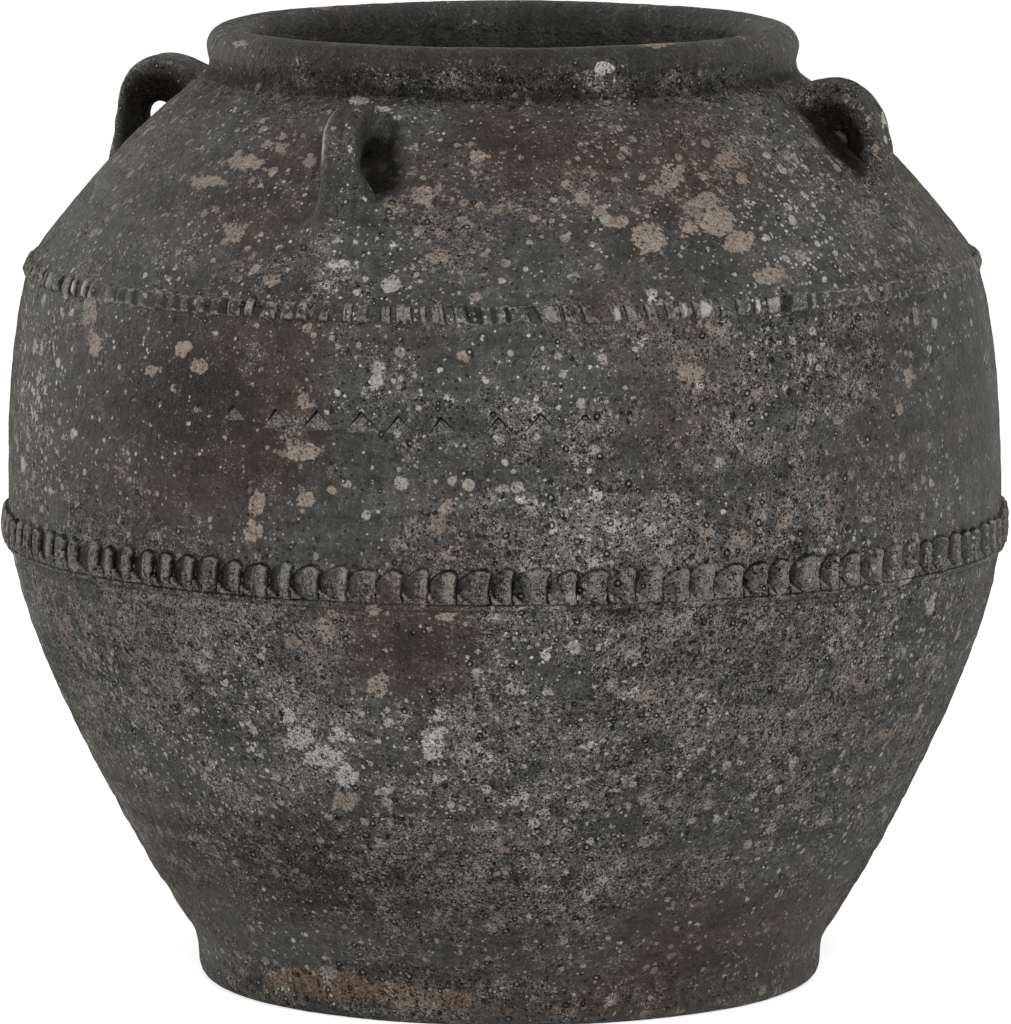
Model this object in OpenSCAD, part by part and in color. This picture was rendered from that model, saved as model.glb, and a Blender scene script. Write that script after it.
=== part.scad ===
// Round storage jar in dark fired clay, with four strap lugs on the shoulder.
// It is built up in sections, each luted to the one below, and the two outer seams
// are covered by applied bands. The jar stands on the XY plane with its axis on Z,
// and one lug faces the front, along -Y.

/* [Body] */
// Diameter across the face of the foot
foot_d = 250; // [236:1:264]
// How far the foot face spreads outwards up to the crease
crease_spread = 1.5; // [0:0.5:4]
// Height of the crease above the floor
crease_h = 20; // [16:1:26]
// Diameter at the belly seam
belly_d = 397; // [380:1:416]
// Rise of the wall from the crease to the belly seam
lower_rise = 165; // [145:1:185]
// Diameter at the sharp break of the shoulder
shoulder_d = 376.6; // [364:0.2:386]
// Rise of the wall from the belly seam to the shoulder break
belly_rise = 106; // [92:1:120]
// Diameter of the neck, where the rim is luted on
neck_d = 236; // [226:1:246]
// Rise of the shoulder from the break to the neck
shoulder_rise = 72.5; // [64:0.5:80]
// Rise of the rim from the neck to the top
collar_rise = 20.5; // [19:0.5:30]
// Thickness of the thrown wall
wall_t = 9; // [6:0.5:12]

/* [Foot] */
// Thickness of the foot slab
base_t = 12; // [9:0.5:15]
// Radius of the worn lower edge of the foot
foot_round = 7.5; // [3:0.5:9]
// Radius of the clay pressed into the inner corner at the floor
cove_r = 8; // [4:0.5:10]

/* [Rim] */
// Thickness of the rolled lip, from the mouth to the outside
lip_t = 17.5; // [13:0.5:22]
// Depth of the groove between the neck and the rolled lip
groove_depth = 1.6; // [0.5:0.1:4]
// Height of the groove's deepest line above the neck
groove_rise = 3.5; // [2:0.5:6]

/* [Bands] */
// Height of the belly band on the wall
belly_band_h = 16; // [12:0.5:20]
// How far the belly band stands proud of the wall
belly_band_proud = 3.5; // [2:0.1:6]
// Number of thumb presses around the belly band
belly_press_count = 112; // [96:4:120]
// Diameter of the thumb that pressed the belly band
belly_press_d = 11; // [9:0.5:12]
// Depth of each press, from the crest of the belly band
belly_press_depth = 3; // [1.5:0.1:3.6]
// Height of the bead on the shoulder break
shoulder_band_h = 8.4; // [6:0.2:11]
// How far the shoulder bead stands proud of the break
shoulder_band_proud = 1.6; // [0.8:0.1:3]
// Number of tool nicks around the shoulder bead
nick_count = 160; // [120:4:176]
// Width of a tool nick along the bead
nick_w = 3.6; // [2:0.1:4.5]
// Depth of a tool nick, from the crest of the bead
nick_depth = 1.1; // [0.5:0.1:1.5]
// Lean of the tool nicks away from upright
nick_lean = 14; // [0:1:30]

/* [Stamped row] */
// Height of the stamps' base line above the belly seam
stamp_up = 59; // [40:1:80]
// Number of stamps around the jar
stamp_count = 76; // [60:4:88]
// Width of a stamp at its base line
stamp_w = 10.6; // [6:0.2:12]
// Height of a stamp from its base line to its point
stamp_rise = 6.4; // [4:0.2:9]
// Depth of a stamp at its point
stamp_depth = 1.1; // [0.4:0.1:2]

/* [Lugs] */
// Width of the strap over the crown
lug_w = 20; // [16:0.5:26]
// Width of the strap where it is pressed onto the shoulder
lug_root_w = 27; // [26:0.5:34]
// Gap between the neck and the inner root of the strap
lug_gap = 1.5; // [1:0.5:4]
// Place of the eye's centre on the shoulder, as a share of the way from the neck to the break
eye_place_share = 0.41; // [0.37:0.01:0.48]
// Distance of the eye's centre above the shoulder, measured upright
eye_lift = 5; // [4:0.5:7]
// Diameter of the eye at its throat
eye_d = 13; // [10:0.5:15]
// Diameter of the eye where it opens at the sides of the strap
eye_flare_d = 20; // [15:0.5:22]
// Depth of the flare on each side
eye_flare_depth = 5; // [3:0.5:7]
// Clay over the top of the eye
crown_t = 15; // [11:0.5:18]
// Clay outside the eye
leg_t = 10; // [7:0.5:13]

/* [Hidden] */

// Every cutter runs this far past what it cuts
overrun = 4;

foot_r = foot_d / 2;
crease_r = foot_r + crease_spread;
belly_r = belly_d / 2;
shoulder_r = shoulder_d / 2;
neck_r = neck_d / 2;
mouth_r = neck_r - lip_t;

// Heights of the seams, stacked up from the floor
belly_h = crease_h + lower_rise;
shoulder_h = belly_h + belly_rise;
neck_h = shoulder_h + shoulder_rise;
rim_h = neck_h + collar_rise;
stamp_h = belly_h + stamp_up;
// The bead lies mostly below the break, which its upper edge just covers
shoulder_band_mid = shoulder_h - shoulder_band_h / 4;

// Directions of the wall line, counted up from pointing straight out
flare_angle = 48;
belly_angle = 91;
break_angle = 109;
shoulder_angle = 119;
neck_angle = 149;

// Straightness of the wall line at each of those places, as shares of the run beside it
flare_share = 0.1;
under_belly_share = 0.25;
over_belly_share = 0.1;
break_share = 0.34;
shoulder_share = 0.1;
neck_share = 0.32;

// Steps along each run of the wall, and along a small rounding
lower_steps = 14;
upper_steps = 9;
neck_steps = 8;
round_steps = 5;
roll_steps = 16;
bead_steps = 6;

$fn = 360;
press_fn = 32;

// Points of a smooth line that leaves p and arrives at q in the given directions
function smooth_line(p, leave, leave_share, q, arrive, arrive_share, steps) =
    let (
        run = norm(q - p),
        a = p + leave_share * run * [cos(leave), sin(leave)],
        b = q - arrive_share * run * [cos(arrive), sin(arrive)]
    )
    [
        for (i = [0 : steps])
            let (t = i / steps, u = 1 - t)
            u * u * u * p + 3 * u * u * t * a + 3 * u * t * t * b + t * t * t * q
    ];

// Points of an arc about a centre
function arc(centre, radius, start, end, steps) =
    [
        for (i = [0 : steps])
            let (turn = start + (end - start) * i / steps)
            centre + radius * [cos(turn), sin(turn)]
    ];

function tail(line) = [for (i = [1 : len(line) - 1]) line[i]];
function slice(line, first, last) = [for (i = [first : last]) line[i]];
function backwards(line) = [for (i = [len(line) - 1 : -1 : 0]) line[i]];

// Unit vector into the wall, square to the step from p to q
function into_wall(p, q) = [p[1] - q[1], q[0] - p[0]] / norm(q - p);

// The point of the inner face that faces point b of the outer face
function inside_of(a, b, c) =
    let (m = into_wall(a, b), n = into_wall(b, c))
    b + wall_t * (m + n) / (1 + m * n);

// Outer face of the wall from the slab to the neck, in radius and height
outer_line = concat(
    [[foot_r, base_t]],
    smooth_line([crease_r, crease_h], flare_angle, flare_share,
        [belly_r, belly_h], belly_angle, under_belly_share, lower_steps),
    tail(smooth_line([belly_r, belly_h], belly_angle, over_belly_share,
        [shoulder_r, shoulder_h], break_angle, break_share, upper_steps)),
    tail(smooth_line([shoulder_r, shoulder_h], shoulder_angle, shoulder_share,
        [neck_r, neck_h], neck_angle, neck_share, neck_steps))
);
belly_i = 1 + lower_steps;
shoulder_i = belly_i + upper_steps;
neck_i = shoulder_i + neck_steps;

// Inner face, point by point behind the outer face
inner_line = concat(
    [[foot_r - wall_t, base_t]],
    [for (i = [1 : neck_i - 1]) inside_of(outer_line[i - 1], outer_line[i], outer_line[i + 1])],
    [[mouth_r, neck_h]]
);

// Height of the shoulder's outer face at a radius, and radius of the wall at a height
function shoulder_height(r) = lookup(r, slice(outer_line, shoulder_i, neck_i));
function wall_radius(h) = lookup(h, [for (p = slice(outer_line, 1, shoulder_i)) [p[1], p[0]]]);

// Places of a lug, in radius and height
eye_r = neck_r + eye_place_share * (shoulder_r - neck_r);
eye_h = shoulder_height(eye_r) + eye_lift;
lug_in_r = neck_r + lug_gap;
lug_out_r = eye_r + eye_d / 2 + leg_t;
crown_h = eye_h + eye_d / 2 + crown_t;
// The strap's hidden ends reach this far into the shoulder before they are cut to it
lug_dig = wall_t;
lug_rise_angle = 16;
lug_bend_share = 0.5;
crown_bend_share = 0.56;
lug_steps = 8;

// A ring of the wall between two of its seams
module wall_section(first, last) {
    rotate_extrude()
        polygon(concat(slice(outer_line, first, last), backwards(slice(inner_line, first, last))));
}

// Everything inside the outer face, as a block that applied pieces are cut to
module jar_block() {
    rotate_extrude()
        polygon(concat([[0, base_t]], outer_line, [[0, neck_h]]));
}

// The disc of clay that the jar was started on
module foot_slab() {
    color([0.27, 0.22, 0.19])
        rotate_extrude()
            polygon(concat(
                [[0, base_t], [0, 0]],
                arc([foot_r - foot_round, foot_round], foot_round, -90, 0, round_steps),
                [[foot_r, base_t]]
            ));
}

// Foot face, crease and the wall up to the belly seam, with a cove at the floor
module lower_wall() {
    cove_centre = [foot_r - wall_t - cove_r, base_t + cove_r];
    color([0.24, 0.23, 0.21])
        rotate_extrude()
            polygon(concat(
                slice(outer_line, 0, belly_i),
                backwards(slice(inner_line, 1, belly_i)),
                arc(cove_centre, cove_r, 0, -90, round_steps)
            ));
}

// Wall from the belly seam to the shoulder break, with its row of stamps
module belly_wall() {
    color([0.25, 0.24, 0.23])
        difference() {
            wall_section(belly_i, shoulder_i);
            for (i = [0 : stamp_count - 1])
                rotate([0, 0, i * 360 / stamp_count])
                    stamp_cut();
        }
}

// One stamp: a triangle that is flush along its base and deepest at its point
module stamp_cut() {
    sink_angle = atan(stamp_depth / stamp_rise);
    base_r = wall_radius(stamp_h);
    translate([base_r, 0, stamp_h])
        rotate([0, -sink_angle, 0])
            rotate([90, 0, 90])
                linear_extrude(stamp_depth + overrun)
                    polygon([[-stamp_w / 2, 0], [stamp_w / 2, 0], [0, stamp_rise]]);
}

// Sloping shoulder between the break and the neck
module shoulder_wall() {
    color([0.26, 0.25, 0.23])
        wall_section(shoulder_i, neck_i);
}

// Upright neck with its thick half-round lip
module rim_collar() {
    roll_r = lip_t / 2;
    color([0.28, 0.25, 0.22])
        rotate_extrude()
            polygon(concat(
                [[neck_r, neck_h], [neck_r - groove_depth, neck_h + groove_rise]],
                arc([mouth_r + roll_r, rim_h - roll_r], roll_r, 0, 180, roll_steps),
                [[mouth_r, neck_h]]
            ));
}

// A bead of clay laid round the jar and cut to the wall behind it
module bead(crest_r, middle_h, height, proud) {
    // Radius of the circle with this height as its chord and proud as the rise over it
    bead_r = (height * height / 4 + proud * proud) / (2 * proud);
    bead_angle = asin(height / 2 / bead_r);
    difference() {
        rotate_extrude()
            polygon(concat(
                [[crest_r - proud - wall_t / 2, middle_h - height / 2]],
                arc([crest_r - bead_r, middle_h], bead_r, -bead_angle, bead_angle, bead_steps),
                [[crest_r - proud - wall_t / 2, middle_h + height / 2]]
            ));
        jar_block();
    }
}

// Band over the belly seam, pressed all round with the thumb
module belly_band() {
    crest_r = belly_r + belly_band_proud;
    press_r = belly_press_d / 2;
    color([0.22, 0.22, 0.21])
        difference() {
            bead(crest_r, belly_h, belly_band_h, belly_band_proud);
            for (i = [0 : belly_press_count - 1])
                rotate([0, 0, i * 360 / belly_press_count])
                    translate([crest_r - belly_press_depth + press_r, 0, belly_h])
                        cylinder(h = belly_band_h + overrun, r = press_r, center = true, $fn = press_fn);
        }
}

// Bead over the shoulder break, nicked all round with a square tool
module shoulder_band() {
    crest_r = shoulder_r + shoulder_band_proud;
    color([0.30, 0.28, 0.25])
        difference() {
            bead(crest_r, shoulder_band_mid, shoulder_band_h, shoulder_band_proud);
            for (i = [0 : nick_count - 1])
                rotate([0, 0, i * 360 / nick_count])
                    translate([crest_r - nick_depth, 0, shoulder_band_mid])
                        rotate([nick_lean, 0, 0])
                            translate([0, -nick_w / 2, -shoulder_band_h])
                                cube([nick_depth + overrun, nick_w, 2 * shoulder_band_h]);
        }
}

// Side outline of a strap: up from the neck, over the crown and down outside the eye
lug_outline = concat(
    [[lug_in_r, shoulder_height(lug_in_r) - lug_dig]],
    smooth_line([lug_in_r, shoulder_height(lug_in_r)], lug_rise_angle, lug_bend_share,
        [eye_r, crown_h], 0, lug_bend_share, lug_steps),
    tail(smooth_line([eye_r, crown_h], 0, crown_bend_share,
        [lug_out_r, eye_h], -90, crown_bend_share, lug_steps)),
    [[lug_out_r, shoulder_height(lug_out_r) - lug_dig]]
);

// The eye through a strap, with a flare on each side
module eye_cut() {
    flare_h = eye_flare_depth + overrun;
    flare_end_r = eye_d / 2 + (eye_flare_d - eye_d) / 2 * flare_h / eye_flare_depth;
    translate([eye_r, 0, eye_h])
        rotate([90, 0, 0]) {
            cylinder(h = lug_root_w + overrun, d = eye_d, center = true);
            for (side = [0, 1])
                mirror([0, 0, side])
                    translate([0, 0, lug_w / 2 - eye_flare_depth])
                        cylinder(h = flare_h, r1 = eye_d / 2, r2 = flare_end_r);
        }
}

// One strap lug, cut to the shoulder that it is pressed onto
module lug(turn) {
    low_h = shoulder_height(lug_out_r) - lug_dig;
    color([0.22, 0.20, 0.18])
        rotate([0, 0, turn])
            difference() {
                intersection() {
                    rotate([90, 0, 0])
                        linear_extrude(lug_root_w + overrun, center = true)
                            polygon(lug_outline);
                    rotate([90, 0, 90])
                        linear_extrude(lug_out_r + overrun)
                            polygon([
                                [-lug_root_w / 2, low_h], [lug_root_w / 2, low_h],
                                [lug_w / 2, eye_h + eye_d / 2], [lug_w / 2, crown_h + overrun],
                                [-lug_w / 2, crown_h + overrun], [-lug_w / 2, eye_h + eye_d / 2]
                            ]);
                }
                eye_cut();
                jar_block();
            }
}

module lug_right() { lug(0); }
module lug_back() { lug(90); }
module lug_left() { lug(180); }
module lug_front() { lug(270); }

foot_slab();
lower_wall();
belly_wall();
shoulder_wall();
rim_collar();
belly_band();
shoulder_band();
lug_front();
lug_right();
lug_back();
lug_left();
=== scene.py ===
import math

import bpy
import numpy as np
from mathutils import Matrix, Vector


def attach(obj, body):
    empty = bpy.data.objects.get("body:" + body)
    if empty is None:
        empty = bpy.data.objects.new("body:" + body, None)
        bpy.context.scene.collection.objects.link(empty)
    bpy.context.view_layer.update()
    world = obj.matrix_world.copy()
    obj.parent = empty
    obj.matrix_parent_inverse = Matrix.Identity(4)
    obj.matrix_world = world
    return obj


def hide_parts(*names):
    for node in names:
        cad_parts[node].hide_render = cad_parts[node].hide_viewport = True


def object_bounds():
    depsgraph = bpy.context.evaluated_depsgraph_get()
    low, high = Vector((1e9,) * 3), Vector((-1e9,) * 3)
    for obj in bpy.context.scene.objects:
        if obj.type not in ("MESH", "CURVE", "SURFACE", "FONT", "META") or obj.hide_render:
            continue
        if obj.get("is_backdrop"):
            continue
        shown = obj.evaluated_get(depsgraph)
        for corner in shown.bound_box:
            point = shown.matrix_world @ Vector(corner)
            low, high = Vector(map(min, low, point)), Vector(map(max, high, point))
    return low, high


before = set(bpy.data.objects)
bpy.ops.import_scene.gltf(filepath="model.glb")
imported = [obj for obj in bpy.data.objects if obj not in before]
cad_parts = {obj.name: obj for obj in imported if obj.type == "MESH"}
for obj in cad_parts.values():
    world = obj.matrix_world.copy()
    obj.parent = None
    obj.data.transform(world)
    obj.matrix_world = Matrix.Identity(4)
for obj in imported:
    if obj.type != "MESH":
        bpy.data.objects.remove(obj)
cad_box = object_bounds()

# The view
# The jar is seen through a long lens from a little above its rim, with one lug turned
# 21 degrees to the left of the middle. The same view also says where a stain that shows
# in the photograph lies on the clay.
MM = 0.001
VIEW_TURN = math.radians(21)
CAMERA_OFF = 4376.4 * MM
CAMERA_UP = 779.07 * MM
AIM_UP = 187.17 * MM
PHOTO_WIDE, PHOTO_HIGH = 1011, 1024
FOCAL_PIXELS = 11027.95
SENSOR = 36.0

to_camera = np.array([math.sin(VIEW_TURN), -math.cos(VIEW_TURN), 0.0])
to_right = np.array([math.cos(VIEW_TURN), math.sin(VIEW_TURN), 0.0])
eye = to_camera * CAMERA_OFF + np.array([0, 0, CAMERA_UP])
ahead = np.array([0, 0, AIM_UP]) - eye
ahead = ahead / np.linalg.norm(ahead)
upright = np.cross(to_right, ahead)


def photo_place(points):
    """Column and row at which points of the jar show in the photograph"""
    offset = points - eye
    depth = offset @ ahead
    column = PHOTO_WIDE / 2 + FOCAL_PIXELS * (offset @ to_right) / depth
    row = PHOTO_HIGH / 2 - FOCAL_PIXELS * (offset @ upright) / depth
    return column, row


lens = bpy.data.cameras.new("long_lens")
lens.sensor_width = SENSOR
lens.lens = FOCAL_PIXELS / PHOTO_HIGH * SENSOR
lens.clip_end = 50
camera = bpy.data.objects.new("camera", lens)
camera.location = eye
camera.rotation_euler = (math.pi / 2 + math.asin(ahead[2]), 0, VIEW_TURN)
bpy.context.scene.collection.objects.link(camera)
bpy.context.scene.camera = camera


# Foot slab
# The round slab of dark clay that the jar is started on, cut free of the wheel with a
# wire. Its lower edge is worn round. Everything turned on the wheel is made in the same
# way as this slab, so the tools for turning, skin, clay and stains are set out here.
# Height of the jar in millimetres, then its outer line's turning points, as radius and height
JAR_HIGH = 384
FOOT_R = 125 * MM
SLAB_T = 12 * MM
FOOT_ROUND = 7.5 * MM
CREASE = np.array([126.5, 20.0]) * MM
BELLY = np.array([198.5, 185.0]) * MM
BREAK = np.array([188.3, 291.0]) * MM
NECK = np.array([118.0, 363.5]) * MM
LIP_T = 17.5 * MM
LIP_MID = np.array([NECK[0] - LIP_T / 2, JAR_HIGH * MM - LIP_T / 2])
GROOVE = np.array([116.4, 367.0]) * MM
MOUTH_R = NECK[0] - LIP_T
WALL_T = 9 * MM
# Steps that a smooth line is drawn in, before its points are spaced evenly
LINE_STEPS = 200
# The inner face has one point for so many of the outer face
INNER_STEP = 8


def smooth_line(p, leave, leave_share, q, arrive, arrive_share):
    """Points of the wall's line from p to q, which leaves and arrives in given directions"""
    run = np.linalg.norm(q - p)
    leave, arrive = math.radians(leave), math.radians(arrive)
    a = p + leave_share * run * np.array([math.cos(leave), math.sin(leave)])
    b = q - arrive_share * run * np.array([math.cos(arrive), math.sin(arrive)])
    t = np.linspace(0, 1, LINE_STEPS + 1)[:, None]
    u = 1 - t
    return u**3 * p + 3 * u * u * t * a + 3 * u * t * t * b + t**3 * q


def arc(middle, radius, start, end, steps=60):
    """Points of an arc, with its angles in degrees"""
    turn = np.radians(np.linspace(start, end, steps + 1))
    return middle + radius * np.stack([np.cos(turn), np.sin(turn)], 1)


def run_of(line):
    """How far along a line each of its points lies"""
    return np.r_[0, np.cumsum(np.linalg.norm(np.diff(line, axis=0), axis=1))]


def between(at, places, rows):
    """Rows that belong to known places, read between them"""
    return np.stack([np.interp(at, places, column) for column in rows.T], 1)


def unit(rows):
    """The same directions with length 1"""
    return rows / np.linalg.norm(rows, axis=1)[:, None]


def even(line, step):
    """The same line with its points spaced evenly, about a step apart"""
    far = run_of(line)
    places = np.linspace(0, far[-1], max(2, round(far[-1] / step) + 1))
    return between(places, far, line)


def softened(line, reach):
    """The same evenly spaced line with its corners rounded over, and its ends kept"""
    rounds = line.copy()
    for _ in range(reach):
        rounds[1:-1] = (rounds[:-2] + 2 * rounds[1:-1] + rounds[2:]) / 4
    return rounds


# The outer line of the whole jar, from under the foot to the inside of the lip
outer_runs = {
    "foot": even(arc(np.array([FOOT_R - FOOT_ROUND, FOOT_ROUND]), FOOT_ROUND, -90, 0), 1 * MM),
    "slab": even(np.array([[FOOT_R, FOOT_ROUND], [FOOT_R, SLAB_T]]), 1 * MM),
    "low": softened(even(np.concatenate([
        [[FOOT_R, SLAB_T]],
        smooth_line(CREASE, 48, 0.1, BELLY, 91, 0.25)]), 1.42 * MM), 1),
    "high": even(smooth_line(BELLY, 91, 0.1, BREAK, 109, 0.34), 1.15 * MM),
    "shoulder": even(smooth_line(BREAK, 119, 0.1, NECK, 149, 0.32), 1.15 * MM),
    "lip": softened(even(np.concatenate([
        [NECK, GROOVE], arc(LIP_MID, LIP_T / 2, 0, 180), [[MOUTH_R, NECK[1]]]]), 0.8 * MM), 6),
}
outer_line = np.concatenate([run[k > 0:] for k, run in enumerate(outer_runs.values())])
run_starts = np.cumsum([0] + [len(run) - 1 for run in outer_runs.values()])
# The corners at the neck and over the foot slab are rounded over
neck_at = run_starts[5]
foot_at = run_starts[2]
for first, last, reach in ((neck_at - 12, neck_at + 9, 30), (foot_at - 8, foot_at + 9, 6)):
    outer_line[first:last] = softened(outer_line[first:last], reach)
along = np.gradient(outer_line, axis=0)
outer_way = unit(softened(unit(np.stack([along[:, 1], -along[:, 0]], 1)), 3))


def outer_part(*names):
    """Points and outward directions of some neighbouring runs of the outer line"""
    order = list(outer_runs)
    first = run_starts[order.index(names[0])]
    last = run_starts[order.index(names[-1]) + 1]
    return outer_line[first:last + 1], outer_way[first:last + 1]


def wall_radius(height):
    """Radius of the jar's outer face at a height"""
    return np.interp(height, outer_line[:, 1], outer_line[:, 0])


def plug(slot, value):
    """Joins a wire to an input, or writes a plain value in it"""
    if isinstance(value, Wire):
        value.tree.links.new(value.socket, slot)
    else:
        slot.default_value = value


class Wire:
    """One output of a node, which can stand in plain sums: each sum adds a node to its tree"""

    def __init__(self, tree, socket):
        self.tree = tree
        self.socket = socket

    def out(self, name):
        """Another output of the same node"""
        return Wire(self.tree, self.socket.node.outputs[name])

    def sum(self, operation, *others):
        made = self.tree.nodes.new("ShaderNodeMath")
        made.operation = operation
        for slot, value in zip(made.inputs, (self, *others)):
            plug(slot, value)
        return Wire(self.tree, made.outputs[0])

    def __add__(self, other):
        return self.sum("ADD", other)

    def __sub__(self, other):
        return self.sum("SUBTRACT", other)

    def __mul__(self, other):
        return self.sum("MULTIPLY", other)

    def __truediv__(self, other):
        return self.sum("DIVIDE", other)

    def __rsub__(self, other):
        return (self * -1) + other

    def __pow__(self, other):
        return self.sum("POWER", other)

    def __abs__(self):
        return self.sum("ABSOLUTE")

    def at_least(self, other):
        return self.sum("MAXIMUM", other)

    def at_most(self, other):
        return self.sum("MINIMUM", other)

    __radd__ = __add__
    __rmul__ = __mul__


def put(tree, kind, values=None, **settings):
    """Adds a node with its settings and inputs, and gives its first output"""
    made = tree.nodes.new(kind)
    for name, value in settings.items():
        setattr(made, name, value)
    for name, value in (values or {}).items():
        plug(made.inputs[name], value)
    live = [socket for socket in made.outputs if socket.enabled]
    return Wire(tree, live[0]) if live else None


def noise(place, size, detail=2.0, rough=0.5):
    """Cloudy noise from 0 to 1, with features about this size"""
    scale = size**-1 if isinstance(size, Wire) else 1 / size
    return put(place.tree, "ShaderNodeTexNoise", {
        "Vector": place, "Scale": scale, "Detail": detail, "Roughness": rough})


def cells(place, size):
    """Scattered points about this far apart: the distance to the nearest, in their spacing"""
    return put(place.tree, "ShaderNodeTexVoronoi", {"Vector": place, "Scale": 1 / size})


def fade(value, start, end, low=0.0, high=1.0):
    """Goes smoothly from low to high while the value goes from start to end"""
    return put(value.tree, "ShaderNodeMapRange", {
        "Value": value, "From Min": start, "From Max": end, "To Min": low, "To Max": high,
    }, interpolation_type="SMOOTHSTEP")


def vector(operation, first, second=None, scale=None):
    """A sum of vectors"""
    made = first.tree.nodes.new("ShaderNodeVectorMath")
    made.operation = operation
    plug(made.inputs[0], first)
    if second is not None:
        plug(made.inputs[1], second)
    if scale is not None:
        plug(made.inputs["Scale"], scale)
    return Wire(first.tree, made.outputs["Value" if operation == "DOT_PRODUCT" else "Vector"])


def new_group(name, sockets):
    """A geometry node group with named inputs, and what comes in as wires"""
    tree = bpy.data.node_groups.new(name, "GeometryNodeTree")
    tree.is_modifier = True
    for label, kind in sockets:
        tree.interface.new_socket(label, in_out="INPUT", socket_type="NodeSocket" + kind)
    tree.interface.new_socket("Made", in_out="OUTPUT", socket_type="NodeSocketGeometry")
    entry = tree.nodes.new("NodeGroupInput")
    given = {label: Wire(tree, entry.outputs[label]) for label, _ in sockets}
    return tree, given


def hand_out(made):
    """Ends a geometry node group"""
    plug(made.tree.nodes.new("NodeGroupOutput").inputs[0], made)


def named(tree, name, kind="FLOAT"):
    """What the points of the form hold under a name"""
    return put(tree, "GeometryNodeInputNamedAttribute", {"Name": name}, data_type=kind)


def keep(geometry, name, value, kind="FLOAT"):
    """Stores a value under a name on the points of a form"""
    return put(geometry.tree, "GeometryNodeStoreNamedAttribute", {
        "Geometry": geometry, "Name": name, "Value": value}, data_type=kind)


def parts_of(wire):
    """The three parts of a vector or colour"""
    apart = put(wire.tree, "ShaderNodeSeparateXYZ", {"Vector": wire})
    return apart, apart.out("Y"), apart.out("Z")


def joined(tree, x=0.0, y=0.0, z=0.0):
    return put(tree, "ShaderNodeCombineXYZ", {"X": x, "Y": y, "Z": z})


def ring_place(turn, height, radius=1.0):
    """A place at some turn round the axis. Noise that is read there closes up after a whole turn"""
    return joined(turn.tree, turn.sum("COSINE") * radius, turn.sum("SINE") * radius, height)


TURNED_SOCKETS = [("Section", "Geometry"), ("Steps round", "Int")]


def turned_group():
    """Sweeps a section round the jar's axis, the way that clay passes under a still hand"""
    tree, given = new_group("turned", TURNED_SOCKETS)
    section = put(tree, "GeometryNodeMeshToCurve", {"Mesh": given["Section"]})
    ring = put(tree, "GeometryNodeCurvePrimitiveCircle", {
        "Resolution": given["Steps round"], "Radius": 1.0})
    turn = put(tree, "GeometryNodeInputIndex") / given["Steps round"] * (2 * math.pi)
    ring = keep(ring, "turn", turn)
    body = put(tree, "GeometryNodeCurveToMesh", {"Curve": ring, "Profile Curve": section})
    turned = []
    for name in ("section", "outward"):
        radius, _, height = parts_of(named(tree, name, "FLOAT_VECTOR"))
        turned.append(ring_place(named(tree, "turn"), height, radius))
    body = put(tree, "GeometryNodeSetPosition", {"Geometry": body, "Position": turned[0]})
    body = keep(body, "outward", turned[1], "FLOAT_VECTOR")
    body = put(tree, "GeometryNodeMergeByDistance", {"Geometry": body, "Distance": 0.00001})
    body = put(tree, "GeometryNodeFlipFaces", {"Mesh": body})
    hand_out(body)
    return tree


def raised(form, rise, share):
    """Moves a form outwards by a rise, times a share that its points hold themselves"""
    tree = form.tree
    shift = vector("SCALE", named(tree, "outward", "FLOAT_VECTOR"), scale=rise * named(tree, share))
    return put(tree, "GeometryNodeSetPosition", {"Geometry": form, "Offset": shift})


SKIN_SOCKETS = [("Lump size", "Float"), ("Lump height", "Float"), ("Groove pitch", "Float"),
                ("Groove depth", "Float"), ("Crumb size", "Float"), ("Crumb height", "Float"),
                ("Seed", "Float"), ("Clay", "Material")]


def skin_group():
    """Gives a smooth form the uneven skin of hand-thrown, fired clay, and notes its crests"""
    tree, given = new_group("fired_skin", [("Form", "Geometry")] + SKIN_SOCKETS)
    place = put(tree, "GeometryNodeInputPosition")
    place = vector("ADD", place, joined(tree, given["Seed"]))
    lumps = noise(place, given["Lump size"])
    flat = vector("MULTIPLY", place, (0.05, 0.05, 1.0))
    grooves = noise(flat, given["Groove pitch"])
    crumbs = noise(place, given["Crumb size"], 3.0, 0.6)
    rise = (lumps - 0.5) * given["Lump height"] + (grooves - 0.5) * given["Groove depth"]
    rise = (rise + (crumbs - 0.5) * given["Crumb height"]) * 2
    form = raised(given["Form"], rise, "skin")
    form = keep(form, "rise", rise + named(tree, "pressed"))
    level = named(tree, "rise")
    smoothed = put(tree, "GeometryNodeBlurAttribute", {"Value": level, "Iterations": 5}, data_type="FLOAT")
    crest = (level - smoothed) / MM * named(tree, "skin")
    form = keep(form, "crest", crest)
    form = put(tree, "GeometryNodeSetShadeSmooth", {"Geometry": form})
    form = put(tree, "GeometryNodeRealizeInstances", {"Geometry": form})
    form = put(tree, "GeometryNodeSetMaterial", {"Geometry": form, "Material": given["Clay"]})
    hand_out(form)
    return tree


def run_group(tree, group, values):
    """Uses a node group inside another tree"""
    made = tree.nodes.new("GeometryNodeGroup")
    made.node_tree = group
    for label, value in values.items():
        plug(made.inputs[label], value)
    return Wire(tree, made.outputs[0])


turned = turned_group()
fired_skin = skin_group()


def start_ring(name, *more):
    """Starts the node group of a turned ring, and gives its inputs and the bare ring"""
    tree, given = new_group(name, TURNED_SOCKETS + list(more) + SKIN_SOCKETS)
    form = run_group(tree, turned, {label: given[label] for label, _ in TURNED_SOCKETS})
    return tree, given, form


def end_ring(given, form):
    """Ends the node group of a ring with the fired skin"""
    skin = {label: given[label] for label, _ in SKIN_SOCKETS}
    hand_out(run_group(form.tree, fired_skin, {"Form": form, **skin}))
    return form.tree


def thrown_tree():
    """A ring or disc of the jar, turned and fired"""
    _, given, form = start_ring("thrown_part")
    return end_ring(given, form)


thrown_part = thrown_tree()

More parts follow.
